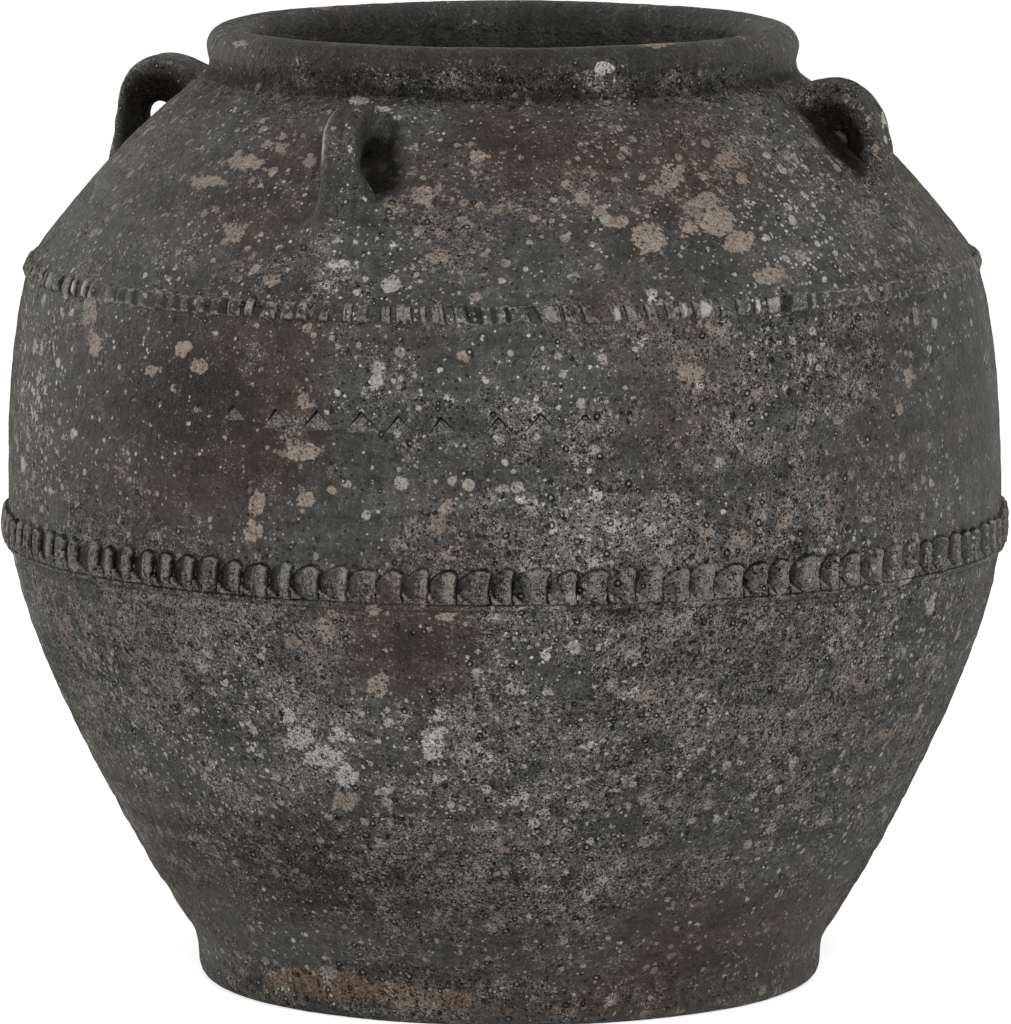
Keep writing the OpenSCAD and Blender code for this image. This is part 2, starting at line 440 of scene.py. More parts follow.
# How uneven the fired skin is
WALL_SKIN = {
    "Lump size": 42 * MM, "Lump height": 0.55 * MM, "Groove pitch": 7 * MM, "Groove depth": 0.32 * MM,
    "Crumb size": 5 * MM, "Crumb height": 0.3 * MM, "Seed": 3.0,
}


def write(mesh, name, values):
    """Stores one value or vector for each point of a mesh"""
    kind, field = ("FLOAT", "value") if np.ndim(values) == 1 else ("FLOAT_VECTOR", "vector")
    layer = mesh.attributes.new(name, kind, "POINT")
    layer.data.foreach_set(field, np.ascontiguousarray(values, np.float32).ravel())


def read(source, count, name):
    """Reads one vector for each point of a mesh"""
    found = np.zeros(count * 3, np.float32)
    source.foreach_get(name, found)
    return found.reshape(-1, 3)


def places_of(mesh):
    return read(mesh.vertices, len(mesh.vertices), "co").astype(float)


def outward_of(mesh):
    return read(mesh.attributes["outward"].data, len(mesh.vertices), "vector")


def section_mesh(name, points, ways, skin, closed=True):
    """The section of a turned part: a line of edges, with what the wheel needs to know"""
    mesh = bpy.data.meshes.new(name)
    count = len(points)
    edges = [(i, i + 1) for i in range(count - 1)] + ([(count - 1, 0)] if closed else [])
    flat = np.stack([points[:, 0], np.zeros(count), points[:, 1]], 1)
    mesh.from_pydata(flat.tolist(), edges, [])
    write(mesh, "section", flat)
    write(mesh, "outward", np.stack([ways[:, 0], np.zeros(count), ways[:, 1]], 1))
    write(mesh, "skin", skin)
    return mesh


def walled(outer, way, inner=None):
    """A closed section: up the outer face, and down the inner one in longer steps"""
    if inner is None:
        picks = np.unique(np.r_[np.arange(0, len(outer), INNER_STEP), len(outer) - 1])
        inner, inner_way = outer[picks] - WALL_T * way[picks], -way[picks]
    else:
        inner_way = np.tile([-1.0, 0.0], (len(inner), 1))
    points = np.concatenate([outer, inner[::-1]])
    ways = np.concatenate([way, inner_way[::-1]])
    return points, ways, np.ones(len(points))


def fired(name, form, tree, values, clay):
    """Runs a node group on a form, and makes the result a plain mesh with faces outwards"""
    piece = bpy.data.objects.new(name, form)
    bpy.context.scene.collection.objects.link(piece)
    change = piece.modifiers.new("making", "NODES")
    change.node_group = tree
    sockets = {item.name: item.identifier for item in tree.interface.items_tree if item.in_out == "INPUT"}
    for label, value in {**values, "Clay": clay}.items():
        change[sockets[label]] = value
    graph = bpy.context.evaluated_depsgraph_get()
    made = bpy.data.meshes.new_from_object(
        piece.evaluated_get(graph), preserve_all_data_layers=True, depsgraph=graph)
    piece.modifiers.remove(change)
    piece.data = made
    made.name = name
    return piece


SEAM_ANGLE = math.radians(62)


def lean(points):
    """The small lean of this jar, which was built up by eye: the foot lies a little to the
    right of the belly and the rim a little to the left, and the rings aren't quite level"""
    height = points[:, 2] / MM
    aside = np.interp(height, [0, 90, 186, 290, 384], [1.8, 1.0, 0.0, -1.1, -1.1]) * MM
    across = points @ to_right
    drop = np.interp(height, [0, 5, 22, 90, 186, 291, 384], [0, -0.002, -0.008, -0.002, 0, 0.005, 0.0])
    behind = NECK[0] - points @ to_camera
    back_drop = np.interp(height, [340, 366], [0, 0.0045])
    moved = points + aside[:, None] * to_right
    moved[:, 2] += drop * across - back_drop * behind
    return moved


# Stains read in the photograph: column, row, half width, half height, strength
BEIGE = [
    (648, 238, 17, 16, 1.0), (719, 222, 18, 14, 1.0), (739, 242, 16, 12, 0.9), (769, 276, 18, 9, 0.9),
    (673, 175, 14, 14, 0.8), (620, 222, 10, 9, 0.8), (705, 200, 16, 10, 0.8), (690, 228, 12, 10, 0.7),
    (600, 210, 9, 7, 0.7), (742, 178, 11, 8, 0.7), (800, 255, 9, 7, 0.7), (205, 182, 26, 9, 0.7),
    (215, 206, 14, 9, 0.6), (246, 163, 30, 9, 0.7), (276, 146, 20, 9, 0.6), (234, 232, 12, 11, 0.8),
    (272, 280, 9, 7, 0.9), (439, 257, 12, 9, 0.9), (424, 196, 16, 13, 0.8), (464, 222, 11, 8, 0.7),
    (478, 156, 12, 9, 0.7), (90, 310, 8, 20, 0.8), (95, 345, 8, 14, 0.8), (152, 371, 8, 7, 0.8),
    (182, 349, 8, 9, 0.9), (199, 366, 9, 8, 0.9), (303, 401, 7, 10, 0.8), (305, 452, 20, 9, 0.9),
    (464, 356, 9, 8, 0.8), (691, 373, 13, 11, 1.0), (713, 333, 8, 7, 0.8), (757, 394, 7, 7, 0.9),
    (909, 376, 6, 13, 0.8), (257, 503, 9, 13, 0.9), (254, 531, 11, 13, 0.9), (305, 500, 11, 9, 0.9),
    (332, 490, 6, 7, 0.7), (448, 506, 9, 10, 0.8), (448, 556, 8, 8, 0.7), (706, 531, 11, 9, 0.8),
    (741, 536, 9, 8, 0.8), (606, 523, 12, 10, 0.8), (786, 520, 10, 9, 0.8), (829, 503, 8, 8, 0.7),
    (378, 686, 10, 13, 0.9), (345, 802, 14, 11, 0.8), (325, 628, 10, 12, 0.9), (373, 610, 10, 7, 0.8),
    (446, 617, 12, 8, 0.7), (66, 626, 9, 14, 0.8), (546, 653, 9, 9, 0.7), (649, 693, 10, 8, 0.7),
    (860, 686, 8, 10, 0.8), (885, 733, 8, 8, 0.7), (150, 485, 14, 10, 0.5), (120, 470, 10, 12, 0.5),
    (625, 575, 7, 9, 0.8), (660, 580, 9, 9, 0.9), (716, 580, 9, 8, 0.7), (600, 582, 6, 9, 0.5),
    (500, 850, 30, 16, 0.5), (470, 870, 20, 10, 0.4), (300, 860, 40, 12, 0.4), (497, 8, 6, 4, 0.9),
    (526, 8, 8, 4, 0.9), (590, 10, 6, 4, 0.8), (650, 9, 12, 4, 0.6), (335, 13, 8, 4, 0.7),
    (655, 45, 40, 4, 0.6), (240, 44, 12, 5, 0.6), (570, 330, 9, 6, 0.6), (905, 240, 9, 8, 0.6),
    (700, 200, 110, 60, 0.40), (210, 180, 60, 30, 0.26), (890, 350, 60, 60, 0.34), (480, 220, 70, 50, 0.34),
    (850, 230, 70, 50, 0.36), (150, 640, 70, 70, 0.30), (450, 200, 26, 22, 0.5), (600, 180, 40, 20, 0.4),
    (330, 640, 40, 40, 0.3), (725, 160, 22, 14, 0.6), (660, 190, 16, 10, 0.6), (700, 175, 16, 9, 0.6),
    (867, 124, 5, 12, 0.6), (876, 152, 5, 10, 0.55), (400, 205, 20, 24, 0.5),
]
PALE = [
    (604, 68, 9, 8, 0.9), (342, 265, 24, 9, 0.6), (300, 738, 13, 12, 0.9), (322, 757, 16, 11, 1.0),
    (347, 776, 12, 12, 0.9), (289, 718, 8, 8, 0.8), (336, 736, 12, 9, 0.7), (433, 743, 14, 16, 0.9),
    (440, 716, 9, 8, 0.7), (520, 800, 46, 18, 0.5), (565, 830, 40, 14, 0.4), (470, 785, 26, 18, 0.5),
    # The patches at columns 333 and 348 are painted highlights on the front lug's strap
    (679, 745, 3, 3, 1.0), (333, 146, 4, 9, 0.46), (348, 138, 4, 10, 0.46), (360, 101, 10, 5, 0.9),
    (386, 108, 13, 5, 0.6), (402, 117, 9, 6, 0.6), (810, 120, 12, 10, 0.4), (884, 118, 5, 16, 0.6),
    (545, 655, 10, 9, 0.7), (590, 745, 9, 9, 0.6), (630, 690, 14, 10, 0.5), (655, 300, 16, 7, 0.5),
    (400, 300, 30, 7, 0.5), (610, 525, 14, 9, 0.6), (700, 385, 6, 5, 0.7), (760, 230, 120, 60, 0.30),
    (200, 720, 80, 80, 0.34), (600, 520, 70, 40, 0.30), (560, 640, 90, 50, 0.26), (450, 780, 90, 50, 0.30),
    # The patch at column 34 is a painted highlight along the left edge
    (900, 600, 60, 90, 0.26), (350, 300, 70, 20, 0.3), (34, 400, 26, 90, 0.45), (255, 745, 8, 6, 0.6),
    (205, 660, 9, 7, 0.5), (725, 700, 11, 9, 0.5), (640, 345, 9, 8, 0.6),
]
RUST = [
    (290, 980, 34, 15, 1.0), (335, 987, 46, 16, 1.2), (390, 993, 40, 14, 1.1), (450, 998, 36, 11, 1.0),
    (500, 1008, 24, 6, 0.7), (245, 970, 20, 10, 0.7), (560, 1010, 34, 6, 0.8), (605, 1008, 20, 6, 0.7),
    (703, 906, 22, 12, 0.6), (460, 890, 26, 14, 0.4), (255, 65, 40, 9, 0.5), (315, 72, 30, 8, 0.4),
    (165, 430, 20, 24, 0.4), (100, 300, 14, 26, 0.5), (430, 265, 26, 12, 0.4), (720, 245, 50, 26, 0.35),
    (455, 540, 30, 14, 0.3),
]
WARM = [
    (175, 410, 110, 90, 1.0), (262, 192, 60, 60, 0.75), (420, 190, 50, 50, 0.4), (354, 112, 22, 7, 0.7),
    (560, 160, 110, 60, 0.6), (275, 62, 80, 16, 0.8), (470, 60, 160, 14, 0.3), (280, 870, 160, 60, 0.55),
    (500, 900, 120, 50, 0.5), (420, 650, 70, 50, 0.5), (700, 170, 90, 50, 0.6), (400, 350, 120, 30, 0.4),
    (560, 440, 80, 30, 0.3), (880, 330, 60, 60, 0.3), (320, 985, 120, 20, 0.7), (560, 1000, 120, 20, 0.6),
    (730, 935, 100, 50, 0.6), (840, 160, 60, 40, 0.5), (170, 90, 50, 30, 0.6),
]
PITTED = [
    (690, 610, 170, 150, 1.0), (180, 640, 120, 80, 0.8), (505, 88, 330, 16, 1.0), (800, 350, 90, 60, 0.6),
    (560, 760, 120, 70, 0.7), (240, 300, 90, 30, 0.4), (420, 420, 90, 50, 0.4), (880, 480, 60, 90, 0.3),
    (100, 540, 60, 40, 0.6), (360, 870, 150, 50, 0.8), (560, 880, 120, 50, 0.6), (40, 400, 34, 90, 0.35),
    (80, 660, 40, 60, 1.0), (340, 990, 140, 20, 0.8),
]
SMOOTH = [
    (290, 480, 130, 60, 0.8), (420, 640, 60, 50, 0.6), (180, 390, 120, 90, 1.0), (250, 200, 110, 50, 0.5),
    # The patch at column 978 is painted shade along the right edge
    (978, 400, 36, 110, 1.25), (900, 450, 60, 80, 0.6), (720, 930, 110, 40, 0.5), (300, 940, 80, 20, 0.4),
    (560, 370, 90, 30, 0.4), (505, 50, 320, 14, 0.9), (250, 900, 80, 24, 0.4), (480, 130, 160, 40, 0.5),
    (690, 260, 130, 46, 0.9), (820, 290, 60, 24, 0.6), (690, 470, 60, 40, 0.7), (560, 680, 50, 40, 0.5),
]


# Each kind with its table, and what is guessed of it where the photograph doesn't show the
# jar: seed, number, least and most reach in millimetres, strength
STAIN_KINDS = [
    ("beige", BEIGE, 11, 150, 3, 7, 1.0), ("pale", PALE, 12, 70, 3, 8, 0.9),
    ("rust", RUST, 13, 30, 8, 18, 0.7), ("warm", WARM, 14, 26, 22, 50, 0.8),
    ("pitted", PITTED, 15, 26, 22, 60, 0.9), ("smooth", SMOOTH, 16, 18, 20, 45, 0.7),
]
# How fast a stain fades out from its middle, and how many of its reaches away it has ended
STAIN_FALL = 0.7
STAIN_END = 2.6
# Height of the painted shade in the crease under the lip and in the one over the foot, and how
# far each reaches up and down, in millimetres
LIP_CREASE = (365.5, 4.5)
FOOT_CREASE = (21, 2.2)


def seen_stains(column, row, stains):
    """How far each point lies inside a list of stains, from 0 to 1"""
    value = np.zeros(len(column))
    for across, down, half_wide, half_high, strength in stains:
        far = ((column - across) / half_wide) ** 2 + ((row - down) / half_high) ** 2
        value = np.maximum(value, strength * np.exp(-STAIN_FALL * far))
    return value


def guessed_stains(points, open_share, seed, count, least, most, strength):
    """Stains of the same kinds, scattered where the photograph doesn't show the jar"""
    draw = np.random.default_rng(seed)
    turn = draw.uniform(0, 2 * math.pi, count)
    height = draw.uniform(0, JAR_HIGH, count) * MM
    radius = wall_radius(height)
    middle = np.stack([radius * np.cos(turn), radius * np.sin(turn), height], 1)
    reach = draw.uniform(least, most, count) * MM
    power = draw.uniform(0.5, 1.0, count) * strength
    value = np.zeros(len(points))
    unseen = np.flatnonzero(open_share < 1)
    places = points[unseen]
    for k in range(count):
        near = np.flatnonzero(np.abs(places - middle[k]).max(1) < STAIN_END * reach[k])
        far = ((places[near] - middle[k]) ** 2).sum(1) / reach[k] ** 2
        spots = unseen[near]
        value[spots] = np.maximum(value[spots], power[k] * np.exp(-STAIN_FALL * far))
    return value


def close_to(place, middle, reach):
    """1 at the middle, and less on both sides of it"""
    return np.exp(-((place - middle) / reach) ** 2)


def weathered(piece):
    """Leans a finished piece with the jar, and notes on its points what the kiln, the ground
    and the years have left there, and the shade painted in its creases and inside the neck"""
    mesh = piece.data
    points = places_of(mesh)
    outward = outward_of(mesh)
    points = lean(points)
    mesh.vertices.foreach_set("co", points.astype(np.float32).ravel())
    column, row = photo_place(points)
    view = eye - points
    facing = (outward * view).sum(1) / np.linalg.norm(view, axis=1)
    seen = np.clip((facing - 0.02) / 0.16, 0, 1)
    kinds = {}
    for kind, stains, *guess in STAIN_KINDS:
        shown = seen_stains(column, row, stains)
        kinds[kind] = shown * seen + guessed_stains(points, seen, *guess) * (1 - seen)
    off_axis = np.maximum(np.linalg.norm(points[:, :2], axis=1), MM)
    inward = -(outward[:, :2] * points[:, :2]).sum(1) / off_axis
    sheltered = np.clip((inward - 0.3) / 0.5, 0, 1)
    for kind in ("beige", "pale", "pitted"):
        kinds[kind] = kinds[kind] * (1 - 0.8 * sheltered)
    height = points[:, 2] / MM
    in_neck = np.interp(height, [335, 360], [0.3, 1.0])
    kinds["smooth"] = np.maximum(kinds["smooth"], sheltered * in_neck)
    write(mesh, "stains", np.stack([kinds["beige"], kinds["pale"], kinds["rust"]], 1))
    write(mesh, "ground", np.stack([kinds["warm"], kinds["pitted"], kinds["smooth"]], 1))
    # Painted shade in the creases under the lip and over the foot, and inside the neck under the lip
    if "painted_light_and_dust" not in mesh.attributes:
        outside = (outward * points).sum(1) > 0
        crease_shade = 0.5 * close_to(height, *LIP_CREASE) + 0.25 * close_to(height, *FOOT_CREASE)
        neck_shade = 0.5 * sheltered * np.interp(height, [355, 362, 368, 380], [0, 1, 0.7, 0])
        write(mesh, "painted_light_and_dust", outside * crease_shade + neck_shade)
    for name in ("outward", "section", "skin", "turn", "rise", "pressed", "up", "face"):
        if name in mesh.attributes:
            mesh.attributes.remove(mesh.attributes[name])
    mesh.set_sharp_from_angle(angle=SEAM_ANGLE)
    mesh.update()


def bare_tree(owner):
    """The empty node tree of a material or of the world"""
    owner.use_nodes = True
    owner.node_tree.nodes.clear()
    return owner.node_tree


def mixed(share, first, second):
    """Goes from the first colour to the second as the share goes from 0 to 1"""
    made = share.tree.nodes.new("ShaderNodeMix")
    made.data_type = "RGBA"
    plug(made.inputs[0], share)
    for slot, colour in ((made.inputs[6], first), (made.inputs[7], second)):
        plug(slot, colour if isinstance(colour, Wire) else (*colour, 1.0))
    return Wire(share.tree, made.outputs[2])


COOL_CLAY = (0.067, 0.067, 0.060)
WARM_CLAY = (0.058, 0.042, 0.030)
# Black of the pores, also used for painted shade
PORE_AND_PAINTED_SHADE = (0.008, 0.0075, 0.007)
GRAIN = (0.600, 0.572, 0.520)
STONE = (0.150, 0.144, 0.128)
VEIL = (0.245, 0.232, 0.208)
BEIGE_EARTH = (0.318, 0.262, 0.214)
PALE_EARTH = (0.580, 0.552, 0.500)
RUST_EARTH = (0.195, 0.130, 0.086)
WORN_CLAY = (0.250, 0.238, 0.212)


def fired_clay(name, grit=1.0, spots=1.0, rough=0.7, dusk=1.0):
    """Unglazed dark clay: cool and warm from the kiln, gritty, pored, spotted with earth and
    lichen, lighter on its crests and darker in its hollows, with the painted shade, painted
    highlights and dust that its points hold. dusk below 1 darkens all of it"""
    clay = bpy.data.materials.new(name)
    tree = bare_tree(clay)
    place = put(tree, "ShaderNodeTexCoord").out("Object")
    stains, ground, crest, painted_light_and_dust = [
        put(tree, "ShaderNodeAttribute", attribute_name=name).out(output)
        for name, output in (("stains", "Vector"), ("ground", "Vector"), ("crest", "Fac"), ("painted_light_and_dust", "Fac"))]
    beige, pale, rust = parts_of(stains)
    warm, pitted, smooth = parts_of(ground)

    cloud = noise(place, 60 * MM, 4.0, 0.6)
    drift = noise(place, 28 * MM, 6.0, 0.68)
    blot = noise(place, 12 * MM, 5.0, 0.65)
    crumb = noise(place, 2.8 * MM, 3.0, 0.65)
    streak = noise(vector("MULTIPLY", place, (0.07, 0.07, 1.0)), 6 * MM, 3.0, 0.6)
    grain = noise(place, 1.2 * MM, 2.0, 0.7)
    sand = noise(place, 0.55 * MM, 1.0)
    speckle = grain * 0.42 + crumb * 0.16 + sand * 0.42
    bend = vector("ADD", place, vector("SCALE", crumb.out("Color"), scale=1.6 * MM))

    zone = pitted + (blot - 0.5) * 1.6 + (drift - 0.5) * 2.6 - smooth * 0.9
    gritty = fade(zone, -0.4, 0.7, 0.12, 1.0) * grit
    warmth = warm * 0.5 + cloud + (drift - 0.5) * 0.6
    colour = mixed(fade(warmth, 0.48, 0.80), COOL_CLAY, WARM_CLAY)
    cloudy = blot * 0.55 + drift * 0.45 + (crumb - 0.5) * 0.3 + (streak - 0.5) * 0.40
    shade = fade(cloudy, 0.28, 0.74, 0.45, 1.55)
    colour = mixed(gritty * 0.6, colour, STONE)
    fine = fade(speckle, 0.38, 0.62, 1 - (gritty * 0.4 + 0.1), gritty * 0.55 + 1.1)
    # Smooth and warm zones are darker; the smooth zone at the right edge is painted shade
    zone_darkening = 1 - smooth * 0.48 - warm * 0.34
    colour = vector("SCALE", colour, scale=shade * fine * zone_darkening * dusk)

    # Rust, and a pale veil of dust that hangs on the rough
    ragged = (grain - 0.5) * 1.1 + (crumb - 0.5) * 1.3
    rusty = fade(rust + (blot - 0.5) * 0.9 + ragged * 0.4, 0.45, 0.95, 0, 0.8)
    colour = mixed(rusty, colour, RUST_EARTH)
    veil = drift + (blot - 0.5) * 0.5 + pale * 0.30 + pitted * 0.06 - smooth * 0.08
    veil = fade(veil, 0.52, 0.78, 0, 0.40) * fade(speckle, 0.40, 0.58, 0.25, 1.0)
    colour = mixed(veil * dusk, colour, VEIL)

    # Grit: pale grains, in swarms
    swarm = speckle + (blot - 0.5) * 0.14 + (drift - 0.5) * 0.10
    grains = fade(swarm, 0.580, 0.620) * gritty
    colour = mixed(grains * fade(blot, 0.3, 0.7, 0.4, 0.85), colour, GRAIN)

    # Round spots in four sizes, each where its own cell draws it, thicker in some clusters
    frayed = (crumb - 0.5) * 1.5
    cluster = (blot - 0.5) * 1.8 + (drift - 0.5) * 2.0 + beige * 1.1 + pale * 1.1 - smooth * 0.55
    tone = mixed(fade(cloud + beige * 0.6 - pale * 0.6, 0.36, 0.62), PALE_EARTH, BEIGE_EARTH)
    for size, least, most, share, strength in (
            (12 * MM, 0.08, 0.36, 0.40, 0.66), (6.5 * MM, 0.12, 0.42, 0.50, 0.74),
            (3.6 * MM, 0.14, 0.42, 0.51, 0.82), (2.0 * MM, 0.16, 0.42, 0.49, 0.95)):
        spot = cells(bend, size)
        lot, width, tint_lot = parts_of(spot.out("Color"))
        reach = width * width * (most - least) + least
        edge = reach - spot + frayed * 0.16
        drawn = fade(lot + cluster * 0.75, 1 - share * spots, 1.05 - share * spots)
        covered = fade(edge, -0.01, 0.07) * drawn * fade(tint_lot, 0.0, 1.0, 0.55, 1.0)
        colour = mixed(covered * strength * fade(speckle, 0.40, 0.54, 0.5, 1.0), colour, tone)

    for patch, tint, strength in ((beige, BEIGE_EARTH, 0.86), (pale, PALE_EARTH, 0.82)):
        covered = fade(patch * 1.25 + frayed * 0.65 + (blot - 0.5) * 0.8, 0.58, 0.68)
        covered = covered * fade(speckle, 0.43, 0.56, 0.35, 1.0)
        colour = mixed(covered * strength, colour, tint)

    pores = fade(speckle, 0.450, 0.410) * gritty
    colour = mixed(pores * 0.9, colour, PORE_AND_PAINTED_SHADE)

    # Ring-shaped craters that burst gas bubbles have left, each round a pale grain
    rings = 0.0
    for size, share in ((5.2 * MM, 0.78), (3.1 * MM, 0.84)):
        crater = cells(bend, size)
        lot, broad, _ = parts_of(crater.out("Color"))
        burst = fade(lot + pitted * 0.5 + (blot - 0.5) * 0.6 - smooth * 0.3, share, share + 0.04)
        crater = crater / (broad * 0.5 + 0.75)
        ring = fade(crater, 0.11, 0.16) * fade(crater, 0.29, 0.22) * burst
        ring = ring * fade(grain, 0.38, 0.50, 0.3, 1.0)
        colour = mixed(ring * 0.9, colour, PORE_AND_PAINTED_SHADE)
        kernel = fade(crater, 0.12, 0.07) * burst
        colour = mixed(kernel * 0.4, colour, GRAIN)
        rings = rings + ring
    pinhole = cells(place, 2.2 * MM)
    lot = parts_of(pinhole.out("Color"))[0]
    pinhole = fade(pinhole, 0.32, 0.18) * fade(lot + gritty * 0.35, 0.72, 0.76)
    colour = mixed(pinhole * 0.75, colour, PORE_AND_PAINTED_SHADE)

    # Lighter crests and darker hollows, then painted shade in creases and recesses, and dust with painted
    # highlights where the points' value is below 0
    crest_lightening = fade(crest + (speckle - 0.5) * 1.5 + (blot - 0.5) * 0.5, 0.10, 0.42, 0, 0.65)
    colour = mixed(crest_lightening, colour, WORN_CLAY)
    hollow_darkening = fade(crest + (speckle - 0.5) * 0.6, -0.12, -0.50, 0, 0.8)
    colour = mixed(hollow_darkening, colour, PORE_AND_PAINTED_SHADE)
    colour = mixed(fade(painted_light_and_dust + (speckle - 0.5) * 1.2, 0.05, 0.95, 0, 0.92), colour, PORE_AND_PAINTED_SHADE)
    dust_and_painted_highlight = fade((speckle - 0.5) * 2.4 - painted_light_and_dust, 0.10, 0.75, 0, 0.75)
    colour = mixed(dust_and_painted_highlight, colour, mixed(fade(painted_light_and_dust, -0.6, -1.1), WORN_CLAY, PALE_EARTH))

    relief = crumb * 1.5 + speckle * gritty * 3.4 + blot * 1.2 - pores * 0.3 - rings * 0.8 - pinhole * 0.5
    bump = put(tree, "ShaderNodeBump", {"Strength": 1.0, "Distance": MM, "Height": relief}).out("Normal")
    matte = fade(grain + gritty * 0.2 - smooth * 0.25, 0.2, 0.8, rough - 0.14, rough + 0.1)
    sheen = fade(gritty + (blot - 0.5) * 0.5 - smooth * 0.3, 0.0, 0.7, 0.16, 0.04)
    sheen = sheen * fade(painted_light_and_dust, 0.2, 0.9, 1.0, 0.1)
    surface = put(tree, "ShaderNodeBsdfPrincipled", {
        "Base Color": colour, "Roughness": matte, "Normal": bump, "Specular IOR Level": sheen, "IOR": 1.5})
    plug(tree.nodes.new("ShaderNodeOutputMaterial").inputs["Surface"], surface)
    return clay


foot_clay = fired_clay("foot_clay", spots=0.5)
under = even(np.array([[0, 0], [FOOT_R - FOOT_ROUND, 0]]), 5 * MM)[:-1]
edge, edge_way = outer_part("foot", "slab")
top = even(np.array([[FOOT_R, SLAB_T], [0, SLAB_T]]), 5 * MM)[1:]
slab_line = np.concatenate([under, edge, top])
slab_way = np.concatenate([
    np.tile([0.0, -1.0], (len(under), 1)), edge_way, np.tile([0.0, 1.0], (len(top), 1))])
slab_skin = np.concatenate([np.full(len(under), 0.3), np.ones(len(edge)), np.full(len(top), 0.5)])
slab_skin[len(under):len(under) + 8] = np.linspace(0.3, 1, 8)
slab_section = section_mesh("foot_section", slab_line, slab_way, slab_skin, closed=False)
foot = fired("foot_slab_dressed", slab_section, thrown_part, {"Steps round": 720, **WALL_SKIN}, foot_clay)
weathered(foot)
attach(foot, "root")
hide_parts("foot_slab")


# Lower wall
# The foot's face, its crease and the wall up to the belly: one thick ring of clay, thrown on
# the slab, with a cove of clay pressed into the corner at the floor.
COVE_R = 8 * MM
wall_clay = fired_clay("wall_clay")
low_line, low_way = outer_part("low")
# Ledges that the throwing hand left: height and depth, in millimetres
LEDGES = np.array([(90, 0.3), (76, 0.6), (64, 0.35), (54, 0.5), (41, 0.35)]) * MM
LEDGE_REACH = 5 * MM
below = LEDGES[:, :1] - low_line[:, 1]
ledge_depth = (LEDGES[:, 1:] * (below > 0) * np.exp(-below.clip(0) / LEDGE_REACH)).sum(0)
low_line = low_line - low_way * ledge_depth[:, None]
picks = np.arange(10, len(low_line), INNER_STEP)
picks[-1] = len(low_line) - 1
cove = arc(np.array([FOOT_R - WALL_T - COVE_R, SLAB_T + COVE_R]), COVE_R, -90, 0, 6)
low_inner = np.concatenate([cove, low_line[picks] - WALL_T * low_way[picks]])
low_section = section_mesh("lower_section", *walled(low_line, low_way, inner=low_inner))
write(low_section, "pressed", np.r_[-ledge_depth, np.zeros(len(low_inner))])
LOW_SKIN = {**WALL_SKIN, "Groove pitch": 9 * MM, "Groove depth": 0.6 * MM}
lower = fired("lower_wall_dressed", low_section, thrown_part, {"Steps round": 630, **LOW_SKIN}, wall_clay)
weathered(lower)
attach(lower, "root")
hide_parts("lower_wall")


# Belly wall
# The next ring of clay, from the belly seam to the break of the shoulder. A row of small
# triangles was pressed into it with a stick's cut end, deeper on one side of the jar, each
# flush along its base and deepest at its point.
STAMP_COUNT = 70
STAMP_UP = 244 * MM
STAMP_WIDE = 12.6 * MM
STAMP_RISE = 6.6 * MM
# How far the stick was tilted, how much wider its outer end is, and how long it is
STAMP_SINK = math.radians(16)
STAMP_FLARE = 1.8
STAMP_REACH = 6 * MM
# The side of the jar on which the stamps are deep
DEEP_SIDE = math.radians(280)


